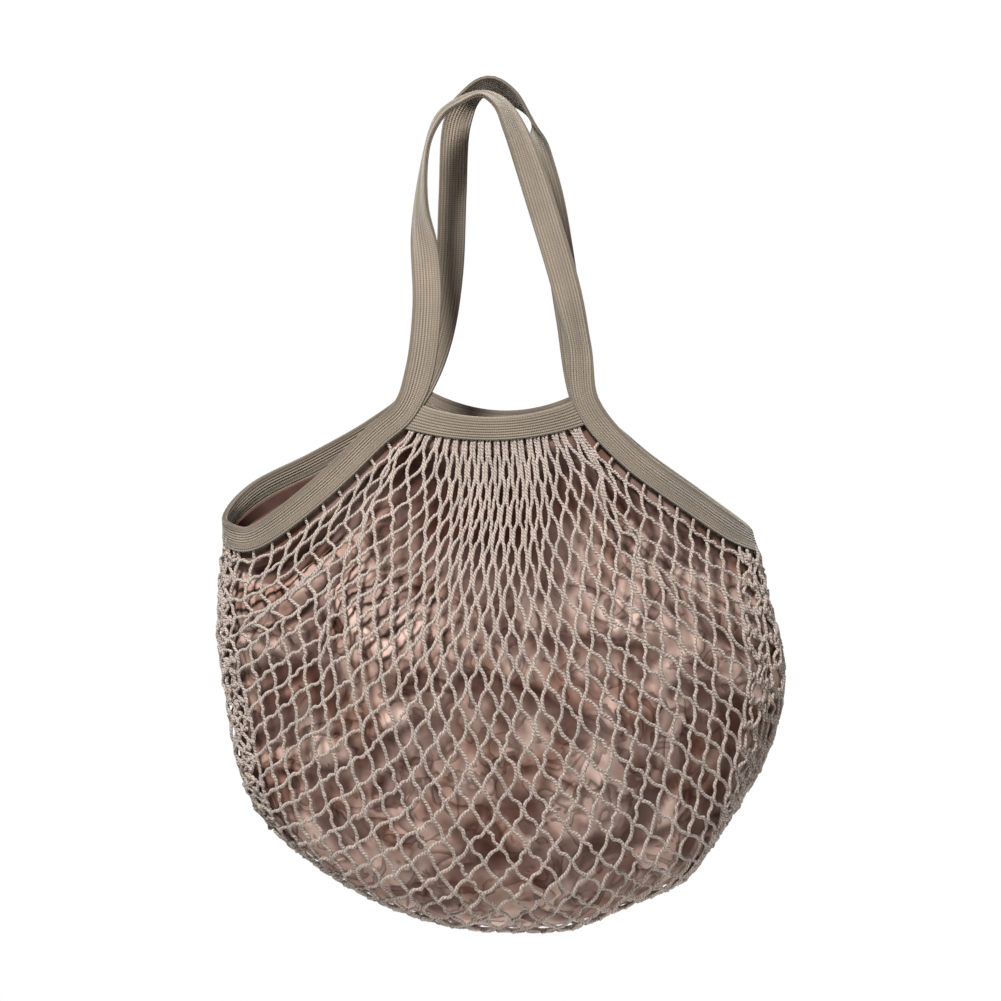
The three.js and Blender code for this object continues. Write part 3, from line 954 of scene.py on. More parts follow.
@dataclass
class CordNet:
    """The knotless net: cords that zigzag down and touch at crossings, gathered at the top.

    A crossing is counted down-left and down-right from the top of the net. The gathered edge, the
    tapes, the sides and the bottom fold are lines of crossings. Beside each side the net is slack
    and its cords bunch together.
    """

    form: BagForm
    cord: Span = (2.6 * MM, 2.8 * MM)
    cord_rows: Span = (25.0, 35.0)
    mesh_edge: float = 19.2 * MM
    gathered: int = 21
    reach: int = 37
    depth: int = 49
    tuck: float = 9.5 * MM
    tape_step: Span = (0.072, 0.046)
    bunched: int = 6
    bunch_share: float = 0.45
    bunch_tape: float = 0.14
    uneven: float = 0.07
    stray: float = 1.0 * MM
    seed: int = 71
    solve_steps: int = 150
    press_every: int = 3
    push: float = 0.05
    haste: float = 2.8
    straighten: float = 0.008
    joint: Span = (3.0 * MM, 1.4 * MM)
    joint_room: Span = (7 * MM, 15 * MM)
    overlap: float = 0.42
    stack: float = 0.15
    wave: float = 0.5 * MM
    loosest: float = 4.6 * MM
    sideways: Span = (0.07, 1.1)
    bow_places: Span = (1 / 3, 2 / 3)
    turned_back: float = -0.6
    lift_part: float = 3.0
    lumps: float = 0.1
    sides: int = 5
    joint_steps: int = 2
    edge_steps: int = 3

    def _key(self, side: Side, left: int, right: int) -> tuple[str, int, int]:
        """Name a crossing; those on the sides and the bottom fold belong to both panels."""
        shared = self.reach in (left, right) or left + right == self.depth
        return ("seam" if shared else side.value, left, right)

    def _cells(self) -> list[tuple[int, int]]:
        """List the crossings of one panel."""
        span = range(self.reach + 1)
        return [
            (left, right) for left in span for right in span
            if self.gathered <= left + right <= self.depth
        ]

    def _closeness(self, left: int, right: int) -> float:
        """Tell how close the net lies at a crossing, from side to side, against its full width."""
        return self.bunch_share if max(left, right) > self.reach - self.bunched else 1.0

    def _levels(self, panel: Panel) -> np.ndarray:
        """Space the rows of crossings along the middle of a panel, as shares down.

        Narrow meshes hang long, and wide ones short.
        """
        down = np.linspace(0.0, 1.0, FINE_STEPS)
        reached = lengths_along(self.form.surface(panel, np.full(FINE_STEPS, 0.5), down))
        above = -self.tuck - self.form.drop
        rows, widths, _ = np.transpose(GATHER)
        half = np.interp(np.arange(self.gathered, self.depth) + 0.5, rows, widths) * MM / 2
        hung = np.concatenate([[0.0], np.cumsum(np.sqrt(self.mesh_edge ** 2 - half ** 2))])
        return np.interp(above + (reached[-1] - above) * hung / hung[-1], reached, down)

    def _start(self, panel: Panel) -> dict[tuple[int, int], np.ndarray]:
        """Lay a panel's crossings out in rows, each cell as wide as the net hangs there."""
        laid = {}
        share = np.linspace(0.0, 1.0, FINE_STEPS)
        beside = (2.0 * share - 1.0) ** 2
        up_tape = 1.0 - self._tape_shares()
        for row, level in enumerate(self._levels(panel), self.gathered):
            first, last = max(0, row - self.reach), min(row, self.reach)
            up = up_tape[min(row, self.reach) - self.gathered]
            down_side = max(0.0, (row - self.reach) / (self.depth - self.reach))
            across = lerp(self.form.gather[0] * up, 1.0 - (1.0 - self.form.gather[1]) * up, share)
            line = self.form.surface(panel, across, lerp(level, down_side, beside))
            reached = lengths_along(line)
            place = np.abs((np.arange(first, last) + 0.5 - first) / (last - first) * 2.0 - 1.0)
            narrow, spread = (np.interp(row, *np.transpose(GATHER)[[0, k]]) for k in (1, 2))
            close = np.array([self._closeness(row - k, k + 1) for k in range(first, last)])
            opened = close * np.sqrt(np.clip((place - spread) / max(1.0 - spread, TINY), 0.0, 1.0))
            spare = reached[-1] - narrow * MM * close.sum()
            widths = narrow * MM * close + opened * spare / max(opened.sum(), TINY)
            cuts = np.concatenate([[0.0], np.cumsum(widths)])
            from_end = np.minimum(np.arange(last - first + 1), np.arange(last - first + 1)[::-1])
            drop = max(level - down_side, TINY)
            down = down_side + drop * np.tanh(from_end * lerp(*self.tape_step, up) / drop)
            points = self.form.surface(panel, np.interp(cuts, reached, across), down)
            for right in range(first, last + 1):
                laid[(row - right, right)] = points[right - first]
        return laid

    def _tape_shares(self) -> np.ndarray:
        """Share the crossings out along a tape, bunched at the corner of the mouth."""
        count = self.reach - self.gathered
        known = [0, count - self.bunched, count]
        return np.interp(np.arange(count + 1), known, [0.0, 1.0 - self.bunch_tape, 1.0])

    def _edge_points(self, panel: Panel) -> dict[tuple[int, int], np.ndarray]:
        """Pin the crossings along the binding and along both tapes."""
        pinned = {}
        foot, head = self.form.binding(panel, np.linspace(0.0, 1.0, self.gathered + 1))
        tucked = foot + unit(head - foot) * self.tuck
        for k in range(self.gathered + 1):
            pinned[(self.gathered - k, k)] = tucked[k]
        shares = self._tape_shares()
        for end in (0, 1):
            rows = self.form.tape.spaced(panel.binding_foot[end], panel.corners[end], shares)
            points = self.form.tape.across(rows, self.tuck)
            for k in range(1, len(shares)):
                cell = (self.gathered + k, 0) if end == 0 else (0, self.gathered + k)
                pinned[cell] = points[k]
        return pinned

    def _skins(self) -> dict[str, BVHTree]:
        """Make the surfaces that the net lies on, for each panel and for both."""
        skins = {}
        every_point, every_face = [], []
        for panel in PANELS:
            grid = self.form.grid(panel, SKIN_COLUMNS, SKIN_ROWS)
            rows, columns = grid.shape[:2]
            row, column = np.meshgrid(np.arange(rows - 1), np.arange(columns - 1), indexing="ij")
            at = row * columns + column
            quads = np.stack([at, at + columns, at + columns + 1, at + 1], axis=-1).reshape(-1, 4)
            if panel.side is Side.REAR:
                quads = quads[:, ::-1]
            points = grid.reshape(-1, 3)
            skins[panel.side.value] = BVHTree.FromPolygons(points.tolist(), quads.tolist())
            every_face.extend((quads + sum(map(len, every_point))).tolist())
            every_point.append(points)
        skins["seam"] = BVHTree.FromPolygons(np.vstack(every_point).tolist(), every_face)
        return skins

    def solve(self) -> Lattice:
        """Lay the net over the bag's form, its cords no longer than they are.

        Returns:
            The crossings as they lie.
        """
        places: dict[tuple[str, int, int], int] = {}
        points: list[np.ndarray] = []
        held: list[bool] = []
        lengths: dict[tuple[int, int], float] = {}
        triples: list[tuple[int, int, int]] = []
        cells = self._cells()
        known = set(cells)
        for panel in PANELS:
            pinned = self._edge_points(panel)
            start = self._start(panel)
            for cell in cells:
                key = self._key(panel.side, *cell)
                if key in places:
                    continue
                places[key] = len(points)
                held.append(cell in pinned)
                points.append(pinned.get(cell, start[cell]))
            for left, right in cells:
                here = places[self._key(panel.side, left, right)]
                for step in ((1, 0), (0, 1)):
                    after = (left + step[0], right + step[1])
                    before = (left - step[0], right - step[1])
                    if after not in known:
                        continue
                    there = places[self._key(panel.side, *after)]
                    outward = after[0] if step[0] else after[1]
                    slack = self._closeness(*after) if outward > self.reach - self.bunched else 1.0
                    lengths[(min(here, there), max(here, there))] = self.mesh_edge * slack
                    if before in known:
                        triples.append((places[self._key(panel.side, *before)], here, there))
        laid = self._relax(np.array(points), np.array(held), lengths, np.array(triples),
                           [key[0] for key in places])
        return Lattice(places, *laid)

    def _relax(self, points: np.ndarray, held: np.ndarray, lengths: dict[tuple[int, int], float],
               triples: np.ndarray, owners: list[str]) -> tuple[np.ndarray, np.ndarray]:
        """Move the crossings until no cord is too long and the net lies on the form.

        Args:
            points: Where the crossings start.
            held: True where a crossing is sewn to a tape.
            lengths: The room that a cord takes between two crossings.
            triples: Crossings that follow each other on one cord.
            owners: The surface that each crossing lies on.

        Returns:
            Where the crossings end, and the way out of the bag at each.
        """
        random = np.random.default_rng(self.seed)
        skins = self._skins()
        edges = np.array(sorted(lengths))
        length = np.array([lengths[tuple(edge)] for edge in edges.tolist()])
        length = length * (1.0 + random.uniform(-self.uneven, self.uneven, len(edges)))
        free = (~held).astype(float)[:, None]
        first, second = edges.T
        before, here, after = triples.T
        valence = np.bincount(edges.ravel(), minlength=len(points))[:, None]
        normals = np.zeros_like(points)
        points = points + free * random.normal(0.0, self.stray, points.shape)
        for step in range(self.solve_steps):
            gap = points[second] - points[first]
            far = np.linalg.norm(gap, axis=1)
            over = far - length
            pull = np.where(over > 0.0, 1.0, self.push) * over / np.maximum(far, TINY)
            move = gap * pull[:, None] / 2
            shift = np.zeros_like(points)
            np.add.at(shift, first, move)
            np.add.at(shift, second, -move)
            straight = np.zeros_like(points)
            np.add.at(straight, here, (points[before] + points[after]) / 2 - points[here])
            points = points + free * (shift * self.haste / valence + straight * self.straighten)
            if step % self.press_every == 0 or step == self.solve_steps - 1:
                for k, owner in enumerate(owners):
                    spot, normal, _, _ = skins[owner].find_nearest(Vector(points[k]))
                    normals[k] = normal
                    if not held[k]:
                        points[k] = spot
        return points, normals

    def _strands(self, side: Side) -> list[list[tuple[int, int]]]:
        """List the crossings that each cord of a panel touches, from the top down."""
        strands = []
        for column in range(-self.reach, self.reach):
            strand = []
            for row in range(self.gathered, self.depth + 1):
                shift = column + (row - column) % 2
                cell = ((row - shift) // 2, (row + shift) // 2)
                if min(cell) >= 0 and max(cell) <= self.reach:
                    strand.append(cell)
            while len(strand) > 1 and min(strand[1]) == 0:
                strand.pop(0)
            while side is Side.REAR and len(strand) > 1 and max(strand[-2]) == self.reach:
                strand.pop()
            strands.append(strand)
        if side is Side.FRONT:
            ends = range(self.depth - self.reach, self.reach + 1)
            strands.append([(self.depth - right, right) for right in ends])
        return [strand for strand in strands if len(strand) > 1]

    def _crossing(self, lattice: Lattice, side: Side, left: int, right: int) -> Crossing:
        """Describe a crossing: its place, the ways out of the bag and down the net, its room."""
        here = lattice.places[self._key(side, left, right)]
        spot, out = lattice.points[here], lattice.normals[here]

        def near(*cells: tuple[int, int]) -> np.ndarray:
            """List the places of those crossings that exist."""
            keys = [self._key(side, *cell) for cell in cells]
            found = [lattice.places[key] for key in keys if key in lattice.places]
            return lattice.points[found]

        below = near((left + 1, right), (left, right + 1))
        above = near((left - 1, right), (left, right - 1))
        beside = near((left + 1, right - 1), (left - 1, right + 1))
        low, high = (near_by.mean(axis=0) if len(near_by) else spot for near_by in (below, above))
        down = low - high
        down = unit(down - out * float(np.dot(down, out)))
        room = np.linalg.norm(beside - spot, axis=1).min() if len(beside) else self.mesh_edge
        first, last = self.cord_rows
        slack = float(smooth(np.array((left + right - first) / (last - first))))
        tight, wide = self.joint_room
        opened = float(smooth(np.array((room - tight) / (wide - tight))))
        return Crossing(
            spot, out, down, float(room), self._closeness(left, right), lerp(*self.cord, slack),
            lerp(*self.joint, opened),
        )

    def _route(self, lattice: Lattice, side: Side, strand: list[tuple[int, int]],
               random: np.random.Generator) -> tuple[np.ndarray, np.ndarray, np.ndarray]:
        """Lead one cord from crossing to crossing.

        Args:
            lattice: The crossings as they lie.
            side: The cord's panel.
            strand: The crossings that the cord passes.
            random: The source of its unevenness.

        Returns:
            The points that the cord passes, the way out of the bag and its thickness at each.
        """
        column = min(right - left for left, right in strand)
        rightward = 1.0 if side is Side.FRONT else -1.0
        route, outs, thick = [], [], []
        last = None
        for cell in strand:
            crossing = self._crossing(lattice, side, *cell)
            turn = 1.0 if cell[1] - cell[0] == column else -1.0
            beside = np.cross(crossing.out, crossing.down) * rightward * turn * self.overlap
            touch = crossing.spot + (beside + crossing.out * self.stack * turn) * crossing.cord
            passing = crossing.down * crossing.joint
            ends = [touch - passing, touch + passing]
            if last is None:
                ends = ends[:1]
            else:
                loose = 1.0 - crossing.close
                room = min(crossing.room, last.room) * lerp(*self.sideways, loose)
                self._hang(route, outs, ends[0], crossing.out, room, loose, random)
            route.extend(ends)
            outs.extend([crossing.out] * len(ends))
            thick.extend([crossing.cord] * (len(route) - len(thick)))
            last = crossing
        return np.array(route), np.array(outs), np.array(thick)

    def _hang(self, route: list[np.ndarray], outs: list[np.ndarray], end: np.ndarray,
              out: np.ndarray, room: float, loose: float, random: np.random.Generator) -> None:
        """Add the loose middle of a cord between two crossings.

        Args:
            route: The points that the cord passes so far.
            outs: The way out of the bag at each.
            end: Where the cord enters the next crossing.
            out: The way out of the bag there.
            room: How far it has room to bow.
            loose: How slack the net is there.
            random: The source of its unevenness.
        """
        start, start_out = route[-1], outs[-1]
        span = np.linalg.norm(end - start)
        spare = max(0.0, self.mesh_edge - 2.0 * self.joint[1] - span)
        wave = lerp(self.wave, self.loosest, loose)
        bow = math.sqrt(span * spare) / 2.0 + wave * abs(random.normal())
        bow = min(bow, self.loosest, room) * random.choice([-1.0, 1.0])
        turned = random.choice([1.0, self.turned_back])
        for share, size in zip(self.bow_places, (1.0, turned)):
            way_out = unit(lerp(start_out, out, share))
            beside = unit(np.cross(end - start, way_out))
            lifted = way_out * wave / self.lift_part * abs(random.normal())
            route.append(lerp(start, end, share) + beside * bow * size + lifted)
            outs.append(way_out)

    def _tube(self, skin: Skin, route: np.ndarray, outs: np.ndarray, thick: np.ndarray,
              random: np.random.Generator) -> float:
        """Draw one cord as a tube.

        Args:
            skin: The mesh that it goes into.
            route: The points that it passes.
            outs: The way out of the bag at each.
            thick: Its thickness at each.
            random: The source of its unevenness.

        Returns:
            The cord's length.
        """
        held = np.vstack([2 * route[0] - route[1], route, 2 * route[-1] - route[-2]])
        points, ways, radii = [], [], []
        between = len(self.bow_places)
        for k in range(len(route) - 1):
            before, start, end, after = held[k:k + 4]
            crossing = k % (between + 2) == between + 1
            steps = self.joint_steps if crossing else self.edge_steps
            share = np.linspace(0.0, 1.0, steps, endpoint=False)[:, None]
            points.append(cubic(start, end, (end - before) / 2, (after - start) / 2, share))
            ways.append(lerp(outs[k], outs[k + 1], share))
            radii.append(lerp(thick[k], thick[k + 1], share[:, 0]) / 2)
        line = np.vstack([*points, route[-1:]])
        out = np.vstack([*ways, outs[-1:]])
        along = unit(np.gradient(line, axis=0))
        beside = unit(np.cross(along, out))
        out = np.cross(beside, along)
        reached = lengths_along(line)
        radius = np.concatenate([*radii, thick[-1:] / 2])
        radius = (radius * (1.0 + random.normal(0.0, self.lumps, len(line))))[:, None, None]
        angle = np.linspace(0.0, TURN, self.sides, endpoint=False)[None, :, None]
        rings = line[:, None] + radius * (np.cos(angle) * out[:, None] + np.sin(angle) * beside[:, None])
        skin.add_rings(rings, np.linspace(0.0, 1.0, self.sides + 1), reached, endless=False)
        return float(reached[-1])

    def build(self, finish: bpy.types.Material) -> list[bpy.types.Object]:
        """Make the net, one piece for each panel.

        Args:
            finish: The cord's material.

        Returns:
            The two pieces, in place of the net's solid.
        """
        lattice = self.solve()
        random = np.random.default_rng(self.seed + 1)
        made = []
        for panel in PANELS:
            skin = Skin()
            total = 0.0
            for strand in self._strands(panel.side):
                total += self._tube(skin, *self._route(lattice, panel.side, strand, random), random)
            piece = skin.piece(f"net_{panel.side.value}", finish)
            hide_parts("net")
            made.append(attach(piece, BODY))
            LOG.info("%s holds %.1f m of cord", piece.name, total)
        return made


@dataclass(frozen=True)
class Fold:
    """A fold in the lining: the cloth is full on the left of its line and falls in on the right."""

    line: np.ndarray
    depth: float
    fall: float
    swell: float
    lip: float = 0.4
    end_ease: float = 0.3

    def dent(self, around: np.ndarray, down: np.ndarray) -> np.ndarray:
        """Work out how far the fold draws the cloth in.

        Args:
            around: Where the points lie on the flat cloth, across.
            down: Where they lie, down.

        Returns:
            The depth at each point.
        """
        nearest = np.full(around.shape, np.inf)
        signed = np.zeros_like(around)
        along = np.zeros_like(around)
        passed = 0.0
        for start, end in zip(self.line, self.line[1:]):
            run = end - start
            length = math.hypot(*run)
            beyond, below = around - start[0], down - start[1]
            part = np.clip((beyond * run[0] + below * run[1]) / length ** 2, 0.0, 1.0)
            away = np.hypot(beyond - part * run[0], below - part * run[1])
            closer = away < nearest
            nearest = np.where(closer, away, nearest)
            signed = np.where(closer, np.where(beyond * run[1] > below * run[0], away, -away), signed)
            along = np.where(closer, passed + part * length, along)
            passed += length
        full = np.clip(signed, 0.0, None) / self.swell
        fallen = np.exp(np.clip(signed, None, 0.0) / self.fall)
        lip = smooth(0.5 - signed / (self.lip * self.fall))
        shape = lerp(full * np.exp(1.0 - full) / 2.0, fallen, lip)
        from_end = np.minimum(along, passed - along)
        return self.depth * shape * smooth(from_end / (self.end_ease * passed))


@dataclass(frozen=True)
class Creases:
    """Folds of about one size, scattered over the lining; sizes in metres on the flat cloth."""

    count: int
    length: Span
    depth: Span
    fall: Span
    swell: float
    bend: float = 0.14

    def scatter(self, random: np.random.Generator, girth: float, height: float) -> list[Fold]:
        """Place the folds at random.

        Args:
            random: The source of chance.
            girth: The length of the flat cloth round the pouch.
            height: Its height.

        Returns:
            The folds.
        """
        folds = []
        for _ in range(self.count):
            spans = (self.length, self.depth, self.fall)
            length, depth, fall = (random.uniform(*span) for span in spans)
            lean = random.uniform(0.0, TURN)
            bend = random.normal(0.0, self.bend)
            run = np.array([math.cos(lean), math.sin(lean)]) * length / 2
            middle = random.uniform(0.0, 1.0, 2) * (girth, height)
            knee = middle + np.array([-run[1], run[0]]) * bend
            line = np.array([middle - run, knee, middle + run])
            folds.append(Fold(line, depth, fall, fall * self.swell))
        return folds


@dataclass
class SatinLining:
    """The loose cloth pouch that fills the net, crumpled by more cloth than the net has room for."""

    form: BagForm
    inset: float = 2.8 * MM
    thickness: float = 0.7 * MM
    columns: int = 150
    rows: int = 128
    margin: int = 8
    flat_width: float = 0.55
    flat_depth: float = 0.44
    flat_sheet: Span = (0.48, 0.74)
    creases: tuple[Creases, ...] = (
        Creases(40, (0.09, 0.20), (0.008, 0.014), (0.014, 0.024), 2.0),
        Creases(300, (0.04, 0.10), (0.005, 0.010), (0.007, 0.012), 1.8),
        Creases(700, (0.015, 0.05), (0.002, 0.004), (0.004, 0.006), 1.6),
    )
    fold_swell: float = 42 * MM
    slack: float = 5 * MM
    pressed: float = 3 * MM
    deepest: float = 36 * MM
    wander: float = 4 * MM
    wander_waves: tuple[float, ...] = (4.0, 9.0, 19.0)
    wander_down: float = 3.0
    wander_bend: float = 2.0
    bottom_ease: float = 0.1
    bottom_loose: float = 0.3
    gap_rise: float = 0.03
    gap_fall: Span = (0.06, 0.12)
    hollow: float = 26 * MM
    hollow_middle: float = 0.47
    hollow_half: float = 0.08
    hollow_ease: float = 0.3
    hollow_rise: float = 0.05
    hollow_fall: Span = (0.12, 0.26)
    room_share: float = 0.75
    turn_soft: int = 6
    # Painted shade on the satin: in crease valleys, in the hollow under the gather, below each main
    # fold, under the tapes and over the inner face.
    painted_shade_valley: float = 4 * MM
    painted_crumple_shade: float = 0.82
    painted_shade_soft: int = 3
    painted_shade_steps: int = 90
    painted_hollow_shade: float = 0.97
    painted_mouth_shade: float = 0.7
    painted_fold_shade: float = 1.0
    painted_shadow_fall: float = 20 * MM
    painted_shadow_swell: float = 1.0
    shade_depth: float = 0.09
    mouth_gap: float = 8 * MM
    sewn: float = 0.04
    painted_inner_shade: float = 0.86
    side_ease: float = 0.12
    kink_depth: float = 0.08
    kink_steps: int = 60
    smoothing: int = 2
    seed: int = 23

    def _grid(self) -> np.ndarray:
        """Lay the pouch as one grid that runs round both panels."""
        front = self.form.grid(FRONT, self.columns, self.rows, self.margin)
        rear = self.form.grid(REAR, self.columns, self.rows, self.margin)[:, ::-1]
        grid = np.concatenate([front[:, :-1], rear[:, :-1]], axis=1)
        eased = (self._inner() * smooth(self._shares()[1] / self.kink_depth))[..., None] / 2
        for _ in range(self.kink_steps):
            beside = (np.roll(grid, 1, axis=1) + np.roll(grid, -1, axis=1)) / 2
            grid = lerp(grid, beside, eased)
        return grid

    def _shares(self) -> tuple[np.ndarray, np.ndarray]:
        """Give each point's share round the pouch, 0 to 2, and down it, below zero in the margin."""
        around = np.arange(2 * self.columns) / self.columns
        down = np.arange(-self.margin, self.rows + 1) / self.rows
        return np.meshgrid(around, down)

    def _across(self) -> np.ndarray:
        """Give each point's share across its own panel, from the left."""
        around, _ = self._shares()
        return np.where(around <= 1.0, around, 2.0 - around)

    def _inner(self) -> np.ndarray:
        """Tell how far each point lies from the sides of the bag, 0 at a side."""
        across = self._across()
        return smooth(np.minimum(across, 1.0 - across) / self.side_ease)

    def _outward(self, grid: np.ndarray) -> np.ndarray:
        """Find the way out of the bag at each point of a grid."""
        around = np.roll(grid, -1, axis=1) - np.roll(grid, 1, axis=1)
        out = np.cross(np.gradient(grid, axis=0), around)
        out[-1] = out[-1] + out[-1][self._mirror()]
        return unit(out)

    def _mirror(self) -> np.ndarray:
        """Give the column that each column meets at the bottom fold."""
        total = 2 * self.columns
        return (-np.arange(total)) % total

    def _creases(self, random: np.random.Generator) -> list[Fold]:
        """Scatter the creases over the flat cloth."""
        folds = []
        for kind in self.creases:
            folds.extend(kind.scatter(random, 2.0 * self.flat_width, self.flat_depth))
        return folds

    def _places(self, random: np.random.Generator) -> list[np.ndarray]:
        """Lay the grid out on the flat cloth, drawn a little out of true."""
        around, down = self._shares()
        place = [around * self.flat_width, down * self.flat_depth]
        for axis in range(2):
            for waves in self.wander_waves:
                turn = random.uniform(0.0, TURN, 2)
                bent = np.sin(waves * down * self.wander_down + turn[1])
                size = self.wander * self.wander_waves[0] / waves
                phase = waves * math.pi * around + turn[0] + self.wander_bend * bent
                place[axis] = place[axis] + size * np.sin(phase)
        return place

    def _depths(self, random: np.random.Generator, place: list[np.ndarray]) -> np.ndarray:
        """Work out how deep the cloth lies inside the net at each point of the grid.

        Args:
            random: The source of the creases' places.
            place: Where each point lies on the flat cloth.

        Returns:
            The depths, as rows by columns.
        """
        _, down = self._shares()
        girth = 2.0 * self.flat_width
        crumpled = np.zeros_like(down)
        for fold in self._creases(random):
            middle = fold.line[:, 0].mean()
            turned = (place[0] - middle + girth / 2) % girth - girth / 2 + middle
            crumpled = crumpled + fold.dent(turned, place[1])
        depth = self.pressed * np.logaddexp(0.0, (crumpled - self.slack) / self.pressed)
        for line, fold_depth, fall in self._main_lines():
            depth = depth + Fold(line, fold_depth, fall, self.fold_swell).dent(*place)
        depth = self.deepest * np.tanh(depth / self.deepest)
        closed = smooth((1.0 - down) / self.bottom_ease)
        fall_start, fall_width = self.gap_fall
        gap = smooth(down / self.gap_rise) * (1.0 - smooth((down - fall_start) / fall_width))
        sunk = depth + self._hollow() * self.hollow + gap * self.mouth_gap
        loose = self._inner() * lerp(self.bottom_loose, 1.0, closed) * smooth(down / self.sewn)
        return self.inset + loose * sunk

    def _main_lines(self) -> list[tuple[np.ndarray, float, float]]:
        """List the main folds on the flat cloth: their lines, how deep they are and how wide."""
        size = (self.flat_width, self.flat_depth)
        return [(np.array(line) * size, depth * MM, fall * MM) for line, depth, fall in MAIN_FOLDS]

    def _hollow(self) -> np.ndarray:
        """Tell how far each point lies in the hollow under the gather."""
        _, down = self._shares()
        off = np.abs(self._across() - self.hollow_middle) - self.hollow_half
        beside = 1.0 - smooth(off / self.hollow_ease)
        fall_start, fall_width = self.hollow_fall
        fallen = 1.0 - smooth((down - fall_start) / fall_width)
        return beside * smooth(down / self.hollow_rise) * fallen

    def _painted_shade(self, depths: np.ndarray, place: list[np.ndarray]) -> np.ndarray:
        """Tell how much shade is painted on each point, in a fold, under the gather or under the tapes.

        Args:
            depths: How deep the points lie.
            place: Where they lie on the flat cloth.

        Returns:
            The shares of painted shade.
        """
        # Painted shade in the crease valleys and in the hollow under the gather.
        valley = self._evened(depths, self.painted_shade_soft) - self._evened(depths, self.painted_shade_steps)
        crumpled = smooth(valley / self.painted_shade_valley) * self.painted_crumple_shade
        painted_shade = np.maximum(crumpled, self._hollow() * self.painted_hollow_shade)
        # Painted shadow below each main fold.
        for line, _, _ in self._main_lines():
            shadow = Fold(line, self.painted_fold_shade, self.painted_shadow_fall, self.painted_shadow_swell)
            painted_shade = np.maximum(painted_shade, shadow.dent(*place))
        # Painted shade under the tapes.
        shaded = 1.0 - smooth(self._shares()[1] / self.shade_depth)
        return np.maximum(painted_shade, shaded * self.painted_mouth_shade)

    def _evened(self, values: np.ndarray, steps: int) -> np.ndarray:
        """Even out values on the grid with those around them, a number of times."""
        for _ in range(steps):
            rows = np.vstack([values[:1], values, values[-1:]])
            beside = np.roll(values, 1, axis=1) + np.roll(values, -1, axis=1)
            values = (beside + rows[:-2] + rows[2:]) / 4
        return values

    def build(self, finish: bpy.types.Material, rests_on: list[bpy.types.Object]) -> bpy.types.Object:
        """Make the lining.

        Args:
            finish: The satin's material.
            rests_on: The pieces that it hangs from and lies against; not used.

        Returns:
            The lining, in place of its solid.
        """
        random = np.random.default_rng(self.seed)
        grid = self._grid()
        place = self._places(random)
        depths = self._depths(random, place)
        room = np.maximum(np.abs(grid[..., 1]) * self.room_share, self.inset)
        sunk = room * np.tanh(depths / room)
        cloth = grid - self._outward(self._evened(grid, self.turn_soft)) * sunk[..., None]
        around, _ = self._shares()
        away = smooth(np.abs((around + 0.5) % 1.0 - 0.5) / self.side_ease)[1:-1, :, None] / 2
        for _ in range(self.smoothing):
            beside = (np.roll(cloth, 1, axis=1) + np.roll(cloth, -1, axis=1))[1:-1]
            cloth[1:-1] = lerp(cloth[1:-1], (beside + cloth[:-2] + cloth[2:]) / 4, away)
            cloth[-1] = (cloth[-1] + cloth[-1][self._mirror()]) / 2
        # The painted shade is stored on the mesh for the satin's colour.
        piece = self._sew(cloth, self._painted_shade(depths, place), finish)
        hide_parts("lining")
        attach(piece, BODY)
        return piece

    def _sew(self, cloth: np.ndarray, painted_shade: np.ndarray,
             finish: bpy.types.Material) -> bpy.types.Object:
        """Make a thin closed mesh of the grid of the cloth's outer face.

        Args:
            cloth: The points of the outer face.
            painted_shade: How much shade is painted on each point of the outer face.
            finish: The satin's material.

        Returns:
            The lining.
        """
        rows, columns = cloth.shape[:2]
        inner = cloth - self._outward(cloth) * self.thickness
        row, column = np.meshgrid(np.arange(rows - 1), np.arange(columns), indexing="ij")
        beside = (column + 1) % columns
        quads = [row * columns + column, (row + 1) * columns + column,
                 (row + 1) * columns + beside, row * columns + beside]
        outer_faces = np.stack(quads, axis=-1).reshape(-1, 4)
        inner_faces = outer_faces[:, ::-1] + rows * columns
        first = np.arange(columns)
        second = (first + 1) % columns
        rim = np.stack([first, second, second + rows * columns, first + rows * columns], axis=-1)
        mesh = bpy.data.meshes.new("satin_pouch")
        points = np.vstack([cloth.reshape(-1, 3), inner.reshape(-1, 3)])
        mesh.from_pydata(points.tolist(), [], np.vstack([outer_faces, inner_faces, rim]).tolist())
        # Painted shade as a point attribute: from the folds on the outer face, one dark value on the
        # inner face.
        shade = mesh.attributes.new(PAINTED_SHADE, "FLOAT", "POINT")
        inside = np.full(rows * columns, self.painted_inner_shade)
        shade.data.foreach_set("value", np.concatenate([painted_shade.ravel(), inside]))
        shaped = bmesh.new()
        shaped.from_mesh(mesh)
        bmesh.ops.remove_doubles(shaped, verts=shaped.verts, dist=WELD)
        bmesh.ops.recalc_face_normals(shaped, faces=shaped.faces)
        shaped.to_mesh(mesh)
        shaped.free()
        mesh.polygons.foreach_set("use_smooth", np.ones(len(mesh.polygons), dtype=bool))
        mesh.materials.append(finish)
        piece = bpy.data.objects.new("satin_pouch", mesh)
        bpy.context.scene.collection.objects.link(piece)
        LOG.info("%s: %.3f m2 on both faces", piece.name, sum(face.area for face in mesh.polygons))
        return piece


@dataclass(frozen=True)
class Lamp:
    """A soft round lamp: its place, how wide it is and its power in watts."""

    name: str
    place: Spot
    size: float
    power: float


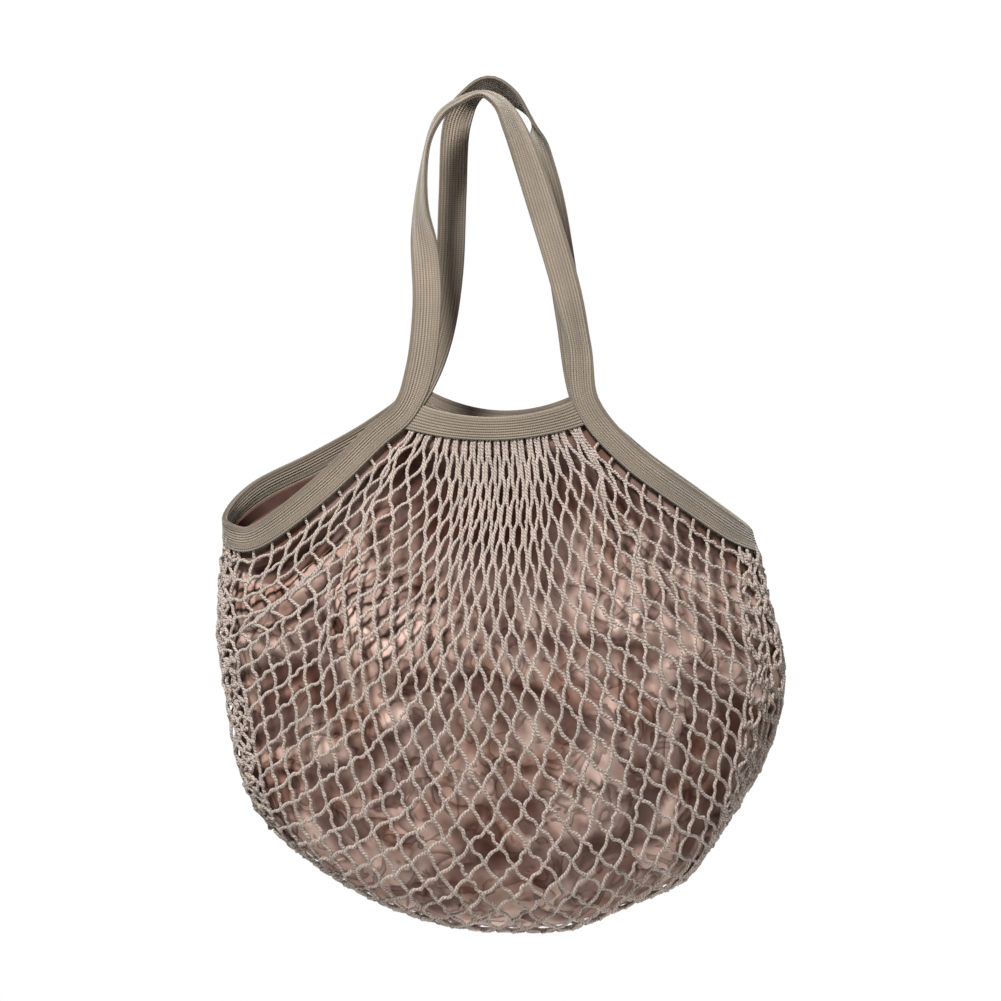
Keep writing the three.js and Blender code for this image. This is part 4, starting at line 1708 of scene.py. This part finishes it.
@dataclass
class Studio:
    """The pale floor, the soft lights and the camera."""

    lamps: tuple[Lamp, ...] = (
        Lamp("key", (-0.62, -1.4, 1.2), 0.45, 95.0),
        Lamp("fill", (1.3, -1.9, -0.1), 1.2, 16.0),
        Lamp("back", (0.9, 1.6, 0.9), 1.0, 60.0),
    )
    aim: Spot = (0.0, 0.0, -0.42)
    floor_level: float = -1.05
    floor_size: float = 1.3
    floor_sides: int = 96
    camera_at: Spot = (0.010, -1.8, -0.3212)
    view_width: float = 0.8008
    sensor: float = 36.0
    ambient: Span = (0.015, 0.07)
    tint: Colour = (1.0, 0.99, 0.975, 1.0)
    backdrop: Colour = (1.0, 1.0, 1.0, 1.0)

    def build(self) -> None:
        """Set up the stage."""
        self._floor()
        for lamp in self.lamps:
            self._light(lamp)
        self._surroundings()
        self._camera()

    def _floor(self) -> None:
        """Lay a round floor under the bag."""
        mesh = bpy.data.meshes.new("floor")
        turns = np.linspace(0.0, TURN, self.floor_sides, endpoint=False)
        rim = [(self.floor_size * math.cos(a), self.floor_size * math.sin(a), 0.0) for a in turns]
        mesh.from_pydata(rim, [], [tuple(range(len(rim)))])
        mesh.materials.append(PaleFloor(self.floor_size).material())
        floor = bpy.data.objects.new("floor", mesh)
        floor.location.z = self.floor_level
        bpy.context.scene.collection.objects.link(floor)

    def _light(self, lamp: Lamp) -> None:
        """Hang a lamp that looks at the bag."""
        light = bpy.data.lights.new(lamp.name, "AREA")
        light.shape = "DISK"
        light.size = lamp.size
        light.energy = lamp.power
        hung = bpy.data.objects.new(lamp.name, light)
        hung.location = lamp.place
        towards = Vector(self.aim) - Vector(lamp.place)
        hung.rotation_euler = towards.to_track_quat("-Z", "Y").to_euler()
        bpy.context.scene.collection.objects.link(hung)

    def _surroundings(self) -> None:
        """Light the scene softly from all round, more from above, before a white background."""
        world = bpy.data.worlds.new("studio")
        world.use_nodes = True
        tree = world.node_tree
        soft = tree.nodes["Background"]
        white = tree.nodes.new("ShaderNodeBackground")
        white.inputs["Color"].default_value = self.backdrop
        parts = tree.nodes.new("ShaderNodeSeparateXYZ")
        tree.links.new(tree.nodes.new("ShaderNodeTexCoord").outputs["Generated"], parts.inputs[0])
        height = tree.nodes.new("ShaderNodeMapRange")
        for name, value in zip(("From Min", "From Max", "To Min", "To Max"), (-1.0, 1.0, *self.ambient)):
            height.inputs[name].default_value = value
        tree.links.new(parts.outputs["Z"], height.inputs["Value"])
        tree.links.new(height.outputs["Result"], soft.inputs["Strength"])
        soft.inputs["Color"].default_value = self.tint
        shown = tree.nodes.new("ShaderNodeMixShader")
        tree.links.new(tree.nodes.new("ShaderNodeLightPath").outputs["Is Camera Ray"], shown.inputs[0])
        tree.links.new(soft.outputs[0], shown.inputs[1])
        tree.links.new(white.outputs[0], shown.inputs[2])
        tree.links.new(shown.outputs[0], tree.nodes["World Output"].inputs["Surface"])
        bpy.context.scene.world = world
        bpy.context.scene.view_settings.view_transform = "Standard"

    def _camera(self) -> None:
        """Set up the camera, level and square to the bag."""
        lens = bpy.data.cameras.new("camera")
        lens.sensor_width = self.sensor
        lens.lens = self.sensor * -self.camera_at[1] / self.view_width
        camera = bpy.data.objects.new("camera", lens)
        camera.location = self.camera_at
        camera.rotation_euler = (math.pi / 2, 0.0, 0.0)
        bpy.context.scene.collection.objects.link(camera)
        bpy.context.scene.camera = camera


def main() -> None:
    """Build the bag's pieces in order and set up the studio."""
    logging.basicConfig(level=logging.INFO, format="%(message)s")
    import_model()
    form = BagForm(TapePath())
    knit = KnitCotton().material()
    pieces = [HandleTape(form.tape, FoldedBand()).build(knit)]
    binding = Binding(form, FoldedBand())
    pieces += [binding.build(panel, knit) for panel in PANELS]
    pieces += CordNet(form).build(TwistedCotton().material())
    pieces.append(SatinLining(form).build(SoftSatin().material(), pieces))
    Studio().build()
    for piece in pieces:
        piece.data.calc_loop_triangles()
        LOG.info("%s: %d triangles", piece.name, len(piece.data.loop_triangles))


if __name__ == "__main__":
    main()
